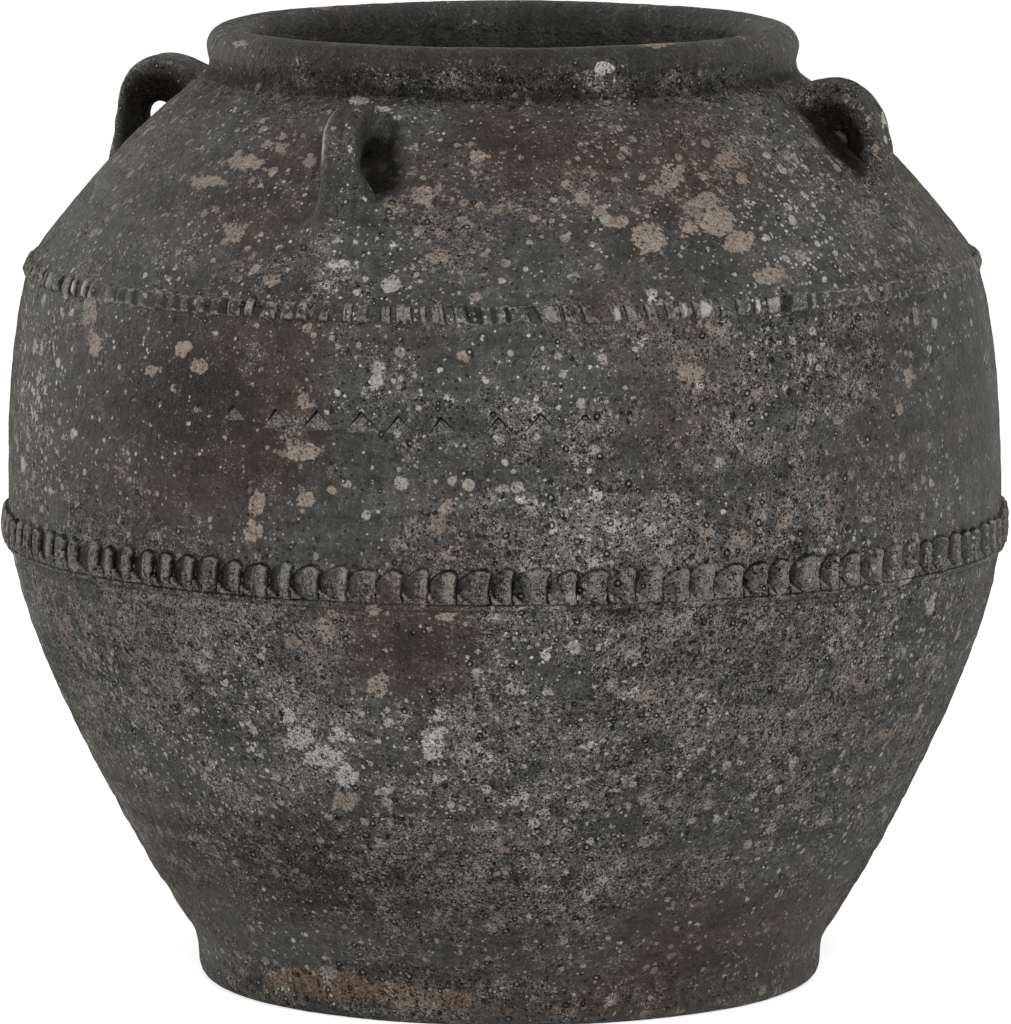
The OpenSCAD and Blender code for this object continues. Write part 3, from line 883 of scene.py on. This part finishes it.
def stamped_tree():
    """A turned ring with a row of stamps cut in it, then fired"""
    tree, given, form = start_ring(
        "stamped_part", ("Stamps", "Int"), ("Stamp height", "Float"), ("Stamp width", "Float"),
        ("Stamp rise", "Float"), ("Wall radius", "Float"))
    stick = put(tree, "GeometryNodeMeshCone", {
        "Vertices": 3, "Radius Top": 1.0, "Radius Bottom": STAMP_FLARE, "Depth": 1.0}, fill_type="NGON")
    grown = joined(tree, given["Stamp rise"] / 1.5, given["Stamp width"] / math.sqrt(3), STAMP_REACH)
    stick = put(tree, "GeometryNodeTransform", {"Geometry": stick, "Scale": grown})
    base_up = joined(tree, STAMP_REACH, 0.0, given["Stamp rise"] / 3)
    stick = put(tree, "GeometryNodeTransform", {
        "Geometry": stick, "Rotation": (0, -math.pi / 2, 0), "Translation": base_up})
    row = put(tree, "GeometryNodePoints", {"Count": given["Stamps"]})
    draw = [
        put(tree, "FunctionNodeRandomValue", {"Seed": seed}, data_type="FLOAT").out(1) - 0.5
        for seed in (5, 6, 7, 8)]
    turn = (put(tree, "GeometryNodeInputIndex") + 0.37 + draw[0] * 0.25) / given["Stamps"] * (2 * math.pi)
    weak = 1 - (turn - DEEP_SIDE).sum("COSINE")
    faint = fade(weak, 0.025, 0.12)
    radius = given["Wall radius"] + (faint + draw[1] * 0.3 - 0.15) * MM
    up = given["Stamp height"] + draw[2] * 1.2 * MM
    row = put(tree, "GeometryNodeSetPosition", {"Geometry": row, "Position": ring_place(turn, up, radius)})
    facing = joined(tree, draw[3] * 0.22, -STAMP_SINK, turn)
    pressed = put(tree, "GeometryNodeInstanceOnPoints", {
        "Points": row, "Instance": stick, "Rotation": facing, "Scale": 1.0 + draw[1] * 0.3})
    pressed = put(tree, "GeometryNodeRealizeInstances", {"Geometry": pressed})
    cut = tree.nodes.new("GeometryNodeMeshBoolean")
    cut.operation = "DIFFERENCE"
    cut.solver = "MANIFOLD"
    plug(cut.inputs["Mesh 1"], form)
    plug(cut.inputs["Mesh 2"], pressed)
    form = Wire(tree, cut.outputs[0])
    place = put(tree, "GeometryNodeInputPosition")
    level = vector("MULTIPLY", place, (1.0, 1.0, 0.0))
    form = keep(form, "outward", vector("NORMALIZE", level), "FLOAT_VECTOR")
    form = keep(form, "skin", 1.0)
    steep = vector("DOT_PRODUCT", put(tree, "GeometryNodeInputNormal"),
                   named(tree, "outward", "FLOAT_VECTOR"))
    near = abs(parts_of(place)[2] - given["Stamp height"])
    # Painted shade on the stamps' steep walls, and a painted highlight on their tilted floors
    face = fade(steep, 0.988, 0.970) * 0.36
    painted_light_and_dust = (fade(steep, 0.88, 0.74, 0.0, 1.7) - face) * fade(near, 10 * MM, 9 * MM)
    painted_light_and_dust = painted_light_and_dust * fade(steep, 0.0, 0.1)
    form = put(tree, "GeometryNodeStoreNamedAttribute", {
        "Geometry": form, "Name": "painted_light_and_dust", "Value": painted_light_and_dust}, data_type="FLOAT", domain="FACE")
    return end_ring(given, form)


high_line, high_way = outer_part("high")
high_section = section_mesh("belly_section", *walled(high_line, high_way))
stamp_values = {
    "Steps round": 870, "Stamps": STAMP_COUNT, "Stamp height": STAMP_UP, "Stamp width": STAMP_WIDE,
    "Stamp rise": STAMP_RISE, "Wall radius": float(np.interp(STAMP_UP, high_line[:, 1], high_line[:, 0]))}
belly = fired("belly_wall_dressed", high_section, stamped_tree(), {**stamp_values, **WALL_SKIN}, wall_clay)
weathered(belly)
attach(belly, "root")
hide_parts("belly_wall")


# Shoulder wall
# The sloping ring between the break and the neck, drawn in on the wheel. Clay was smeared up
# to the roots of the four lugs, and fingers dented it where they opened the eyes.
# Roots of a lug: place out from the axis, half length out and half width across, in millimetres
LUG_ROOTS = [(160.5, 6.5, 10.0), (126.0, 4.0, 9.0)]
SMEAR_HIGH, SMEAR_REACH = 3.4, 5.0
# Each lug's direction in degrees, and the dents of the fingers beside its eye: place out from
# the axis and aside, reach in both ways, depth, in millimetres. Shade is painted in each dent
# that is not raised; at a depth of 0 there is only painted shade
EYE_DENTS = {
    0: [(145.5, 10, 9, 5.5, 2.6), (138, -9, 12, 7.5, 3.0), (145, -15, 12, 7, 0.0)],
    90: [(145.5, 10, 9, 5.5, 2.6), (145.5, -10, 9, 5.5, 2.6)],
    180: [(145.5, 10, 9, 5.5, 2.6), (145.5, -10, 9, 5.5, 2.6)],
    270: [(149, 5, 8, 7, 3.6), (142, 2, 8, 8, 0.6), (134, 11, 9, 6, -4.0), (145.5, -10, 9, 5.5, 2.6),
          (151, 9, 8, 7, 0.0)],
}


def lug_ways(degrees):
    """The directions out over a lug and across it"""
    turn = math.radians(degrees)
    return np.array([
        [math.cos(turn), math.sin(turn), 0.0], [-math.sin(turn), math.cos(turn), 0.0]])


def pressed_by_lugs(piece):
    """Smears clay up to the lugs' roots, dents it where fingers opened the eyes, and paints shade in the
    dents and under the lip
    """
    points = places_of(piece.data)
    outward = outward_of(piece.data)
    outer = outward[:, 2] > 0
    rise, eye_shade = np.zeros(len(points)), np.zeros(len(points))
    for degrees, dents in EYE_DENTS.items():
        out, across = [points @ way / MM for way in lug_ways(degrees)]
        for place, half_out, half_across in LUG_ROOTS:
            gap = np.hypot(
                np.clip(np.abs(out - place) - half_out, 0, None),
                np.clip(np.abs(across) - half_across, 0, None))
            rise = np.maximum(rise, SMEAR_HIGH * np.exp(-(gap / SMEAR_REACH) ** 1.5) * (out > 0))
        for place, aside, reach_out, reach_across, depth in dents:
            far = ((out - place) / reach_out) ** 2 + ((across - aside) / reach_across) ** 2
            rise = rise - depth * np.exp(-far) * (out > 0)
            eye_shade = np.maximum(eye_shade, np.exp(-far) * (out > 0) * outer * (depth >= 0))
    points = points + outward * (outer * rise * MM)[:, None]
    # Painted shade in the dents beside the eyes and under the lip
    shade_under_lip = close_to(points[:, 2] / MM, *LIP_CREASE)
    write(piece.data, "painted_light_and_dust", np.maximum(1.4 * eye_shade, np.where(outer, 0.5, 1.2) * shade_under_lip))
    piece.data.vertices.foreach_set("co", points.astype(np.float32).ravel())


shoulder_line, shoulder_way = outer_part("shoulder")
shoulder_section = section_mesh("shoulder_section", *walled(shoulder_line, shoulder_way))
shoulder = fired(
    "shoulder_wall_dressed", shoulder_section, thrown_part, {"Steps round": 900, **WALL_SKIN}, wall_clay)
pressed_by_lugs(shoulder)
weathered(shoulder)
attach(shoulder, "root")
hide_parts("shoulder_wall")


# Rim collar
# The short neck and the thick rolled lip, folded over and smoothed with a wet cloth, so it is
# the smoothest piece of the jar.
rim_clay = fired_clay("rim_clay", grit=0.8, spots=0.5, rough=0.66, dusk=0.60)
lip_line, lip_way = outer_part("lip")
lip_section = section_mesh("lip_section", lip_line, lip_way, np.ones(len(lip_line)))
rim = fired("rim_collar_dressed", lip_section, thrown_part, {"Steps round": 720, **WALL_SKIN}, rim_clay)
weathered(rim)
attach(rim, "root")
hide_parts("rim_collar")


# Belly band
# A strip of clay laid over the belly seam and pressed on with the thumb, dent by dent. Each
# press left a rounded pad with an arched top, a lower slope beside it and a sharp gap; shade
# is painted in the gaps, on the slope, on the pad's sides and along the arch and the lower edge.
PRESSES = 112
BAND_MID = 185 * MM
BAND_HALF = 8 * MM
BAND_PROUD = 3.3 * MM
# How far the back of a band reaches into the wall
BURIED = 4 * MM
band_clay = fired_clay("band_clay", grit=0.9, spots=0.9, rough=0.66)


def laid_section(name, middle, half, rows, spare):
    """The section of a strip that is laid on the wall: its face follows the wall, and each of
    its points knows how far up the strip it lies, from -1 to 1"""
    far = np.linspace(-1 - spare, 1 + spare, rows)
    heights = middle + far * half
    points = np.stack([wall_radius(heights), heights], 1)
    ways = unit(between(heights, outer_line[:, 1], outer_way))
    ends = [-1, 0]
    mesh = section_mesh(
        name, np.concatenate([points, points[ends] - BURIED * ways[ends]]),
        np.concatenate([ways, -ways[ends]]), np.r_[np.ones(rows), 0.0, 0.0])
    write(mesh, "up", np.r_[far, far[ends]])
    write(mesh, "face", np.r_[np.ones(rows), 0.0, 0.0])
    return mesh


def row_of(count, turn, wander, slant):
    """Splits a band into presses: the share of the way across each, and three lots drawn by it"""
    loose = noise(ring_place(turn, 0.0), 0.09, 1.0)
    u = turn / (2 * math.pi) * count + (loose - 0.5) * wander + slant
    number = u.sum("FLOOR")
    across = u - number
    own = number.sum("FLOORED_MODULO", count)
    lots = put(turn.tree, "ShaderNodeTexWhiteNoise", {"W": own}, noise_dimensions="1D").out("Color")
    return across, *parts_of(lots)


def end_band(given, form, rise, painted_light_and_dust):
    """Raises a band's face by what was pressed into it, notes its painted shade and dust, and fires it"""
    form = keep(form, "painted_light_and_dust", painted_light_and_dust * named(form.tree, "face"))
    form = keep(form, "pressed", rise)
    return end_ring(given, raised(form, rise, "face"))


def pressed_tree():
    """A strip with a row of thumb presses"""
    tree, given, form = start_ring("pressed_band", ("Presses", "Float"), ("Proud", "Float"))
    turn, up = named(tree, "turn"), named(tree, "up")
    bow = up * up * -0.14 + up * -0.05
    chipped = noise(put(tree, "GeometryNodeInputPosition"), 3 * MM, 2.0) - 0.5
    across, lot, lean_lot, arch_lot = row_of(given["Presses"], turn, 0.9, bow + chipped * 0.10)
    up = up + chipped * 0.14
    arch = 0.88 - arch_lot * 0.20 - abs(across * 2.0 - 1.25) ** 2 * 0.40
    inside = fade(up - arch, 0.14, -0.06)
    pad_from = lot * 0.20 + 0.40
    pad = fade(across - pad_from, -0.04, 0.06) * fade(across, 1.0, 0.92)
    bulge = 1 - ((across - pad_from) / (0.97 - pad_from) * 2 - 1) ** 2
    facet = (across / pad_from).at_most(1.0)
    level = pad * (bulge.at_least(0.0) * 0.30 + 0.70) + (1 - pad) * (facet * 0.36 + 0.12)
    gap = (fade(across, 0.12, 0.01) + fade(across, 0.92, 0.99)).at_most(1.0)
    level = level * (1 - gap * 0.7) * (1 - abs(up + 0.05) ** 3 * 0.4)
    worn = fade(noise(ring_place(turn, 3.0), 0.5, 2.0), 0.35, 0.6, 0.6, 1.05)
    above_line = fade(up, -0.88, -0.80)
    ledge = fade(up, -1.30, -0.98) * 0.6
    level = level * worn + 0.8 * (1 - worn)
    corner = (1 - facet) ** 1.5 * 0.5 - 0.80
    filled = fade(up - corner, 0.06, -0.02) * (1 - pad)
    level = level * (1 - filled) + filled * 0.72
    rise = (inside * level * above_line + ledge * (1 - above_line)) * given["Proud"]
    # Painted shade along the arched top, along the lower edge, in the gaps, on the slopes and at the pads'
    # sides; dust on ridges and pads
    arch_shade_line = fade(abs(up - arch - 0.05), 0.10, 0.02) * (arch_lot * 0.5 + 0.6)
    low_line = fade(abs(up + 0.84), 0.08, 0.02) * 0.85
    body = inside * above_line * (1 - filled)
    painted_light_and_dust = (gap * 0.85).at_least((1 - pad) * (0.85 - facet * 0.50)) * body
    painted_light_and_dust = painted_light_and_dust + pad * (1 - bulge.at_least(0.0)) * 0.45 * body
    painted_light_and_dust = painted_light_and_dust.at_least(arch_shade_line).at_least(low_line) * worn
    ridge = fade(abs(across - pad_from), 0.05, 0.02)
    dusty = (ridge * 0.5).at_least(pad * fade(lean_lot + chipped * 1.2, 0.0, 0.9, 0.0, 0.60))
    painted_light_and_dust = painted_light_and_dust - dusty * body * (1 - gap) * (1 - arch_shade_line)
    return end_band(given, form, rise, painted_light_and_dust)


BAND_SKIN = {**WALL_SKIN, "Crumb size": 2.8 * MM, "Crumb height": 0.5 * MM}
band_section = laid_section("belly_band_section", BAND_MID, BAND_HALF, rows=40, spare=0.26)
band_values = {"Steps round": 2240, "Presses": float(PRESSES), "Proud": BAND_PROUD}
band = fired("belly_band_dressed", band_section, pressed_tree(), {**band_values, **BAND_SKIN}, band_clay)
weathered(band)
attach(band, "root")
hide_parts("belly_band")


# Shoulder band
# A thin bead of clay over the shoulder's break. A square tool was pressed across it all the
# way round, which left a row of small uneven blocks.
NICKS = 150
BEAD_MID = 288.6 * MM
BEAD_HALF = 4.4 * MM
BEAD_PROUD = 1.9 * MM
# Places where the bead is worn nearly flat: direction, and how far round it starts and ends
WORN_PLACES = [(349, 0.88, 0.97), (245, 0.966, 0.988)]


def nicked_tree():
    """A bead with nicks across it, and a block with its own tilt between each two"""
    tree, given, form = start_ring("nicked_bead", ("Nicks", "Float"), ("Proud", "Float"))
    turn, up = named(tree, "turn"), named(tree, "up")
    slant = up * fade(noise(ring_place(turn, 5.0), 0.7, 1.0), 0.3, 0.7, -0.15, 0.2)
    across, lot, tilt_lot, width_lot = row_of(given["Nicks"], turn, 2.2, slant)
    off_middle = abs(across * 2 - 1)
    gap_from = width_lot * 0.42 + 0.30
    gap = fade(off_middle - gap_from, -0.06, 0.22)
    chipped = noise(put(tree, "GeometryNodeInputPosition"), 4.5 * MM, 2.0)
    body = 1.12 - abs(up + (chipped - 0.5) * 0.8) ** 2.3 * 1.8
    strength = fade(noise(ring_place(turn, 7.0), 0.45, 2.0), 0.30, 0.50, 0.5, 1.0)
    for degrees, start, end in WORN_PLACES:
        facing = (turn - math.radians(degrees)).sum("COSINE")
        strength = strength * fade(facing, start, end, 1.0, 0.3)
    tall = fade(abs(up) - lot * 0.3, 0.78, 0.52)
    block = lot * 0.8 + 0.55 + (across - 0.5) * (tilt_lot - 0.5) * 1.7 + up * (lot - 0.5) * 0.8
    block = block - off_middle * off_middle * 0.35 + (chipped - 0.5) * 1.2
    block = (block * (1 - gap) - gap * 0.25) * tall + 0.35 * (1 - tall)
    block = block * strength + 0.55 * (1 - strength)
    rise = body.at_most(1.0).at_least(-0.5).at_most(block) * given["Proud"]
    # Painted shade in the nicks and along the bead's lower edge, and dust on the blocks' middles
    low_shade_edge = fade(abs(up + 0.95), 0.22, 0.05) * 0.6
    painted_light_and_dust = (gap * tall + (1 - tall) * fade(abs(up), 0.95, 0.8) * 0.5) * strength * 1.05
    painted_light_and_dust = painted_light_and_dust.at_least(low_shade_edge * strength)
    middle = fade(off_middle + abs(up) * 0.6 + (chipped - 0.5), 0.75, 0.35)
    painted_light_and_dust = painted_light_and_dust - (1 - gap) * middle * tall * fade(tilt_lot, 0.3, 1.0) * strength * 1.2
    return end_band(given, form, rise, painted_light_and_dust)


bead_section = laid_section("shoulder_band_section", BEAD_MID, BEAD_HALF, rows=19, spare=0.2)
bead_values = {"Steps round": 2560, "Nicks": float(NICKS), "Proud": BEAD_PROUD}
bead = fired("shoulder_band_dressed", bead_section, nicked_tree(), {**bead_values, **BAND_SKIN}, band_clay)
weathered(bead)
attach(bead, "root")
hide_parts("shoulder_band")


# Strap lugs
# Four straps of clay, pulled by hand and pressed onto the shoulder at both ends, with an eye
# for a cord. A finger opened each eye from both sides, so the strap's sides are dished.
LUG_EYE = np.array([146.8, 344.0]) * MM
STRAP_HALF = 10 * MM
ROOT_HALF = 14 * MM
# About the height of a lug over its eye, and how far up from the shoulder its roots spread
LUG_HIGH = 20 * MM
ROOT_UP = 16 * MM
# Steps of the strap's mesh round its outline and round its section
LUG_STEPS = 160
SECTION_STEPS = 64
# Places round the strap's outline, in radius and height on the jar, from the outer leg up,
# over the crown, down to the neck and back through the shoulder's wall
LUG_OUTLINE = [
    (163.3, 344.7), (162.6, 351), (160.2, 357.2), (155.8, 362.4), (150.5, 365.4), (144.5, 366.3),
    (138, 365.2), (131, 362.4), (124, 358.6), (119, 356.0), (119.5, 353.5), (124, 350.5), (134, 344.0),
    (143, 335.6), (150, 329.5), (157, 322.5), (164, 316.5), (167.5, 319), (166.5, 325), (164.6, 334.5),
]
# Half of the strap's section: shares of the way out from the eye, and of the half width
STRAP_SECTION = [
    (0.0, 0.0), (0.0, 0.22), (0.03, 0.36), (0.12, 0.52), (0.26, 0.68), (0.42, 0.83), (0.60, 0.95),
    (0.76, 1.0), (0.88, 0.96), (0.96, 0.84), (1.0, 0.62), (1.01, 0.3), (1.01, 0.0),
]
# The share of a lug's paring that is taken off in each direction from its eye, in degrees
PARED_ROUND = ([0, 60, 100, 140, 170, 200, 300, 325, 360], [1, 0.95, 0.80, 0.55, 0.40, 0.2, 0.1, 0.5, 1])


def fade_up(share):
    """Goes smoothly from 0 to 1 while the share does"""
    share = np.clip(share, 0, 1)
    return share * share * (3 - 2 * share)


def shoulder_height(radius):
    """Height of the shoulder's outer face at a radius"""
    line = outer_part("shoulder")[0][::-1]
    return np.interp(radius, line[:, 0], line[:, 1])


def softened_loop(loop, reach):
    """What belongs to the points of a closed line, with each drawn towards its neighbours"""
    for _ in range(reach):
        loop = (np.roll(loop, 1, 0) + 2 * loop + np.roll(loop, -1, 0)) / 4
    return loop


def strap_loop():
    """The strap's whole section, evenly spaced and smooth"""
    half = np.array(STRAP_SECTION)
    other_half = (half * [1, -1])[-2:0:-1]
    closed = np.concatenate([half, other_half, half[:1]])
    far = run_of(closed)
    return softened_loop(between(np.linspace(0, far[-1], SECTION_STEPS, endpoint=False), far, closed), 2)


def strap_reach(crown, theta):
    """How far the strap's outer face lies from the eye in each direction"""
    outline = np.array(LUG_OUTLINE) * MM - LUG_EYE
    outline = outline + np.array(crown) * MM * fade_up(outline[:, 1] / LUG_HIGH)[:, None]
    angle = np.unwrap(np.arctan2(outline[:, 1], outline[:, 0]))
    far = np.linalg.norm(outline, axis=1)
    whole, start = 2 * math.pi, angle[0]
    reach = np.interp((theta - start) % whole + start, np.r_[angle, start + whole], np.r_[far, far[0]])
    return softened_loop(reach, 6)


def lug_form(name, degrees, shape):
    """The bare form of one strap. shape holds what makes it different from the other three"""
    loop = strap_loop()
    theta = np.linspace(0, 2 * math.pi, LUG_STEPS, endpoint=False)
    reach = strap_reach(shape["crown"], theta)
    height = LUG_EYE[1] + reach * np.sin(theta)
    radius = LUG_EYE[0] + reach * np.cos(theta)
    spread = np.clip(1 - (height - shoulder_height(radius)) / ROOT_UP, 0, 1)
    wide = STRAP_HALF * shape["width"] + (ROOT_HALF - STRAP_HALF) * spread**1.6
    out = shape["open"] * MM + (reach - shape["open"] * MM)[:, None] * loop[None, :, 0]
    pull = (1 - loop[None, :, 0])[..., None] * np.array(shape["eye"]) * MM
    wide_near = wide * (1 - shape["pared"] * np.interp(np.degrees(theta), *PARED_ROUND))
    side = np.where(loop[None, :, 1] > 0, wide_near[:, None], wide[:, None]) * loop[None, :, 1]
    crest_place = np.clip(loop[None, :, 0] - 0.9, 0, 0.1) * 10
    for place, rise in shape["ridges"]:
        out = out + crest_place * rise * MM * close_to(side / MM, place, 1.5)
    local_r = LUG_EYE[0] + out * np.cos(theta)[:, None] + pull[..., 0]
    local_z = LUG_EYE[1] + out * np.sin(theta)[:, None] + pull[..., 1]
    side = side + shape["twist"] * MM * ((local_z - LUG_EYE[1]) / LUG_HIGH)
    local_r = local_r + shape["shift"][0] * MM
    local_z = local_z + shape["shift"][1] * MM
    along, across = lug_ways(degrees)
    points = local_r[..., None] * along + side[..., None] * across
    points[..., 2] = local_z
    points = points.reshape(-1, 3)
    around = len(loop)
    i, j = np.meshgrid(np.arange(LUG_STEPS), np.arange(around), indexing="ij")
    corner = lambda a, b: ((a % LUG_STEPS) * around + b % around).ravel()
    faces = np.stack([corner(i, j), corner(i + 1, j), corner(i + 1, j + 1), corner(i, j + 1)], 1)
    mesh = bpy.data.meshes.new(name)
    mesh.from_pydata(points.tolist(), [], faces.tolist())
    mesh.update()
    write(mesh, "outward", read(mesh.vertices, len(points), "normal"))
    write(mesh, "skin", np.ones(len(points)))
    # Painted shade in the eye and out over the dished sides, and painted highlight lines along the strap's
    # edge
    eye_shade = shape["eye_shade"] * (1 - fade_up((loop[None, :, 0] - 0.05) / shape["eye_shade_reach"]))
    eye_shade = eye_shade * np.ones((LUG_STEPS, 1))
    worn = np.zeros_like(eye_shade)
    for place, strength in shape["worn"]:
        upper = fade_up((local_z - LUG_EYE[1] + 6 * MM) / (12 * MM))
        crest = loop[None, :, 0] > 0.8
        worn = np.maximum(worn, strength * upper * crest * close_to(side / MM, place, 1.3))
    write(mesh, "painted_light_and_dust", (eye_shade - worn).ravel())
    return mesh


lug_clay = fired_clay("lug_clay", grit=0.85, spots=0.4, rough=0.58, dusk=0.66)
# What makes each lug different. In millimetres: how far its crown, its eye and the whole are
# shifted out and up, the eye's half width, the twist, and ridges and painted highlight lines
# along the strap, each with its place across. As shares: the width, how much of one side is
# pared off beside the eye, the painted shade in the eye, and how far that reaches out over the sides
LUGS = [
    ("lug_right", 0, {
        "crown": (-3.0, 0.2), "eye": (-2.0, -2.0), "open": 3.8, "shift": (-2.5, -0.3), "width": 1.0,
        "twist": 0.0, "pared": 0.0, "eye_shade": 1.6, "eye_shade_reach": 0.92,
        "ridges": [(4, 0.4)], "worn": [(7, 0.4)]}),
    ("lug_back", 90, {
        "crown": (0.5, -0.6), "eye": (0.0, -1.0), "open": 5.2, "shift": (0.0, 0.0), "width": 0.97,
        "twist": 0.6, "pared": 0.2, "eye_shade": 0.8, "eye_shade_reach": 0.6,
        "ridges": [(-3, 0.4), (5, 0.3)], "worn": [(-8, 0.5)]}),
    ("lug_left", 180, {
        "crown": (1.0, 0.8), "eye": (0.4, -1.8), "open": 5.9, "shift": (0.0, 0.0), "width": 1.02,
        "twist": -0.5, "pared": 0.0, "eye_shade": 1.6, "eye_shade_reach": 1.0,
        "ridges": [(-6, 0.3)], "worn": [(8.5, 0.4)]}),
    ("lug_front", 270, {
        "crown": (2.0, -1.6), "eye": (-1.0, -3.2), "open": 6.6, "shift": (1.5, -1.0), "width": 1.25,
        "twist": 0.0, "pared": 0.80, "eye_shade": 1.4, "eye_shade_reach": 0.48,
        "ridges": [(-8, 1.0), (-1.6, 0.9)], "worn": [(-11.5, 1.0)]}),
]
LUG_SKIN = {**WALL_SKIN, "Lump size": 16 * MM, "Lump height": 0.6 * MM, "Groove depth": 0.1 * MM,
            "Crumb size": 3 * MM, "Crumb height": 0.2 * MM}
for name, degrees, shape in LUGS:
    form = lug_form(name + "_form", degrees, shape)
    lug = fired(name + "_dressed", form, fired_skin, LUG_SKIN, lug_clay)
    weathered(lug)
    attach(lug, "root")
    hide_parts(name)


# Floor and light
# A plain pale floor in soft studio light: a wide window on the left, a weak one on the right
# and a lamp high up in front.
FLOOR_HALF = 6.0
PALE_PAPER = (0.8, 0.8, 0.8, 1.0)
WHITE = (1.0, 1.0, 1.0, 1.0)
# The floor and the sky behind it come out white, and the sky lights the jar less than that
FLOOR_GLOW = 0.68
SKY_LIGHT = 0.42
# Height on the jar that the lamps face
LIT_UP = 0.2


def seen_directly(tree):
    """1 for what the camera sees, mirrored or through glass too, and 0 for light on surfaces"""
    rays = put(tree, "ShaderNodeLightPath")
    return rays.at_least(rays.out("Is Glossy Ray")).at_least(rays.out("Is Transmission Ray"))


floor_mesh = bpy.data.meshes.new("floor")
corners = [(x * FLOOR_HALF, y * FLOOR_HALF, 0) for x, y in ((-1, -1), (1, -1), (1, 1), (-1, 1))]
floor_mesh.from_pydata(corners, [], [(0, 1, 2, 3)])
floor = bpy.data.objects.new("floor", floor_mesh)
bpy.context.scene.collection.objects.link(floor)
paper = bpy.data.materials.new("pale_paper")
tree = bare_tree(paper)
matte = put(tree, "ShaderNodeBsdfDiffuse", {"Color": PALE_PAPER})
glow = put(tree, "ShaderNodeEmission", {"Color": WHITE, "Strength": seen_directly(tree) * FLOOR_GLOW})
both = put(tree, "ShaderNodeAddShader")
plug(both.socket.node.inputs[0], matte)
plug(both.socket.node.inputs[1], glow)
plug(tree.nodes.new("ShaderNodeOutputMaterial").inputs["Surface"], both)
floor_mesh.materials.append(paper)
floor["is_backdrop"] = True

world = bpy.data.worlds.new("studio")
bpy.context.scene.world = world
tree = bare_tree(world)
brightness = fade(seen_directly(tree), 0.0, 1.0, SKY_LIGHT, 1.0)
sky = put(tree, "ShaderNodeBackground", {"Color": WHITE, "Strength": brightness})
plug(tree.nodes.new("ShaderNodeOutputWorld").inputs["Surface"], sky)


def window(name, place, wide, high, watts):
    """A soft rectangular light that faces the jar"""
    light = bpy.data.lights.new(name, "AREA")
    light.shape = "RECTANGLE"
    light.size, light.size_y = wide, high
    light.energy = watts
    lamp = bpy.data.objects.new(name, light)
    lamp.location = place
    away = place - np.array([0, 0, LIT_UP])
    lamp.rotation_euler = (
        math.atan2(math.hypot(away[0], away[1]), away[2]), 0, math.atan2(away[0], -away[1]))
    bpy.context.scene.collection.objects.link(lamp)


# Each light: metres to the right of the jar, towards the camera and up, then its size and watts
for name, right, near, up, wide, high, watts in (
        ("window_left", -1.8, -0.9, 0.5, 1.2, 1.8, 25.0), ("window_right", 2.0, -0.3, 0.5, 1.0, 1.6, 7.5),
        ("front", 0.25, 2.4, 1.1, 0.8, 0.8, 40.0)):
    window(name, to_right * right + to_camera * near + np.array([0, 0, up]), wide, high, watts)

bpy.context.scene.view_settings.view_transform = "Standard"

visual_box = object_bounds()
{"cad": [list(corner) for corner in cad_box], "visual": [list(corner) for corner in visual_box]}
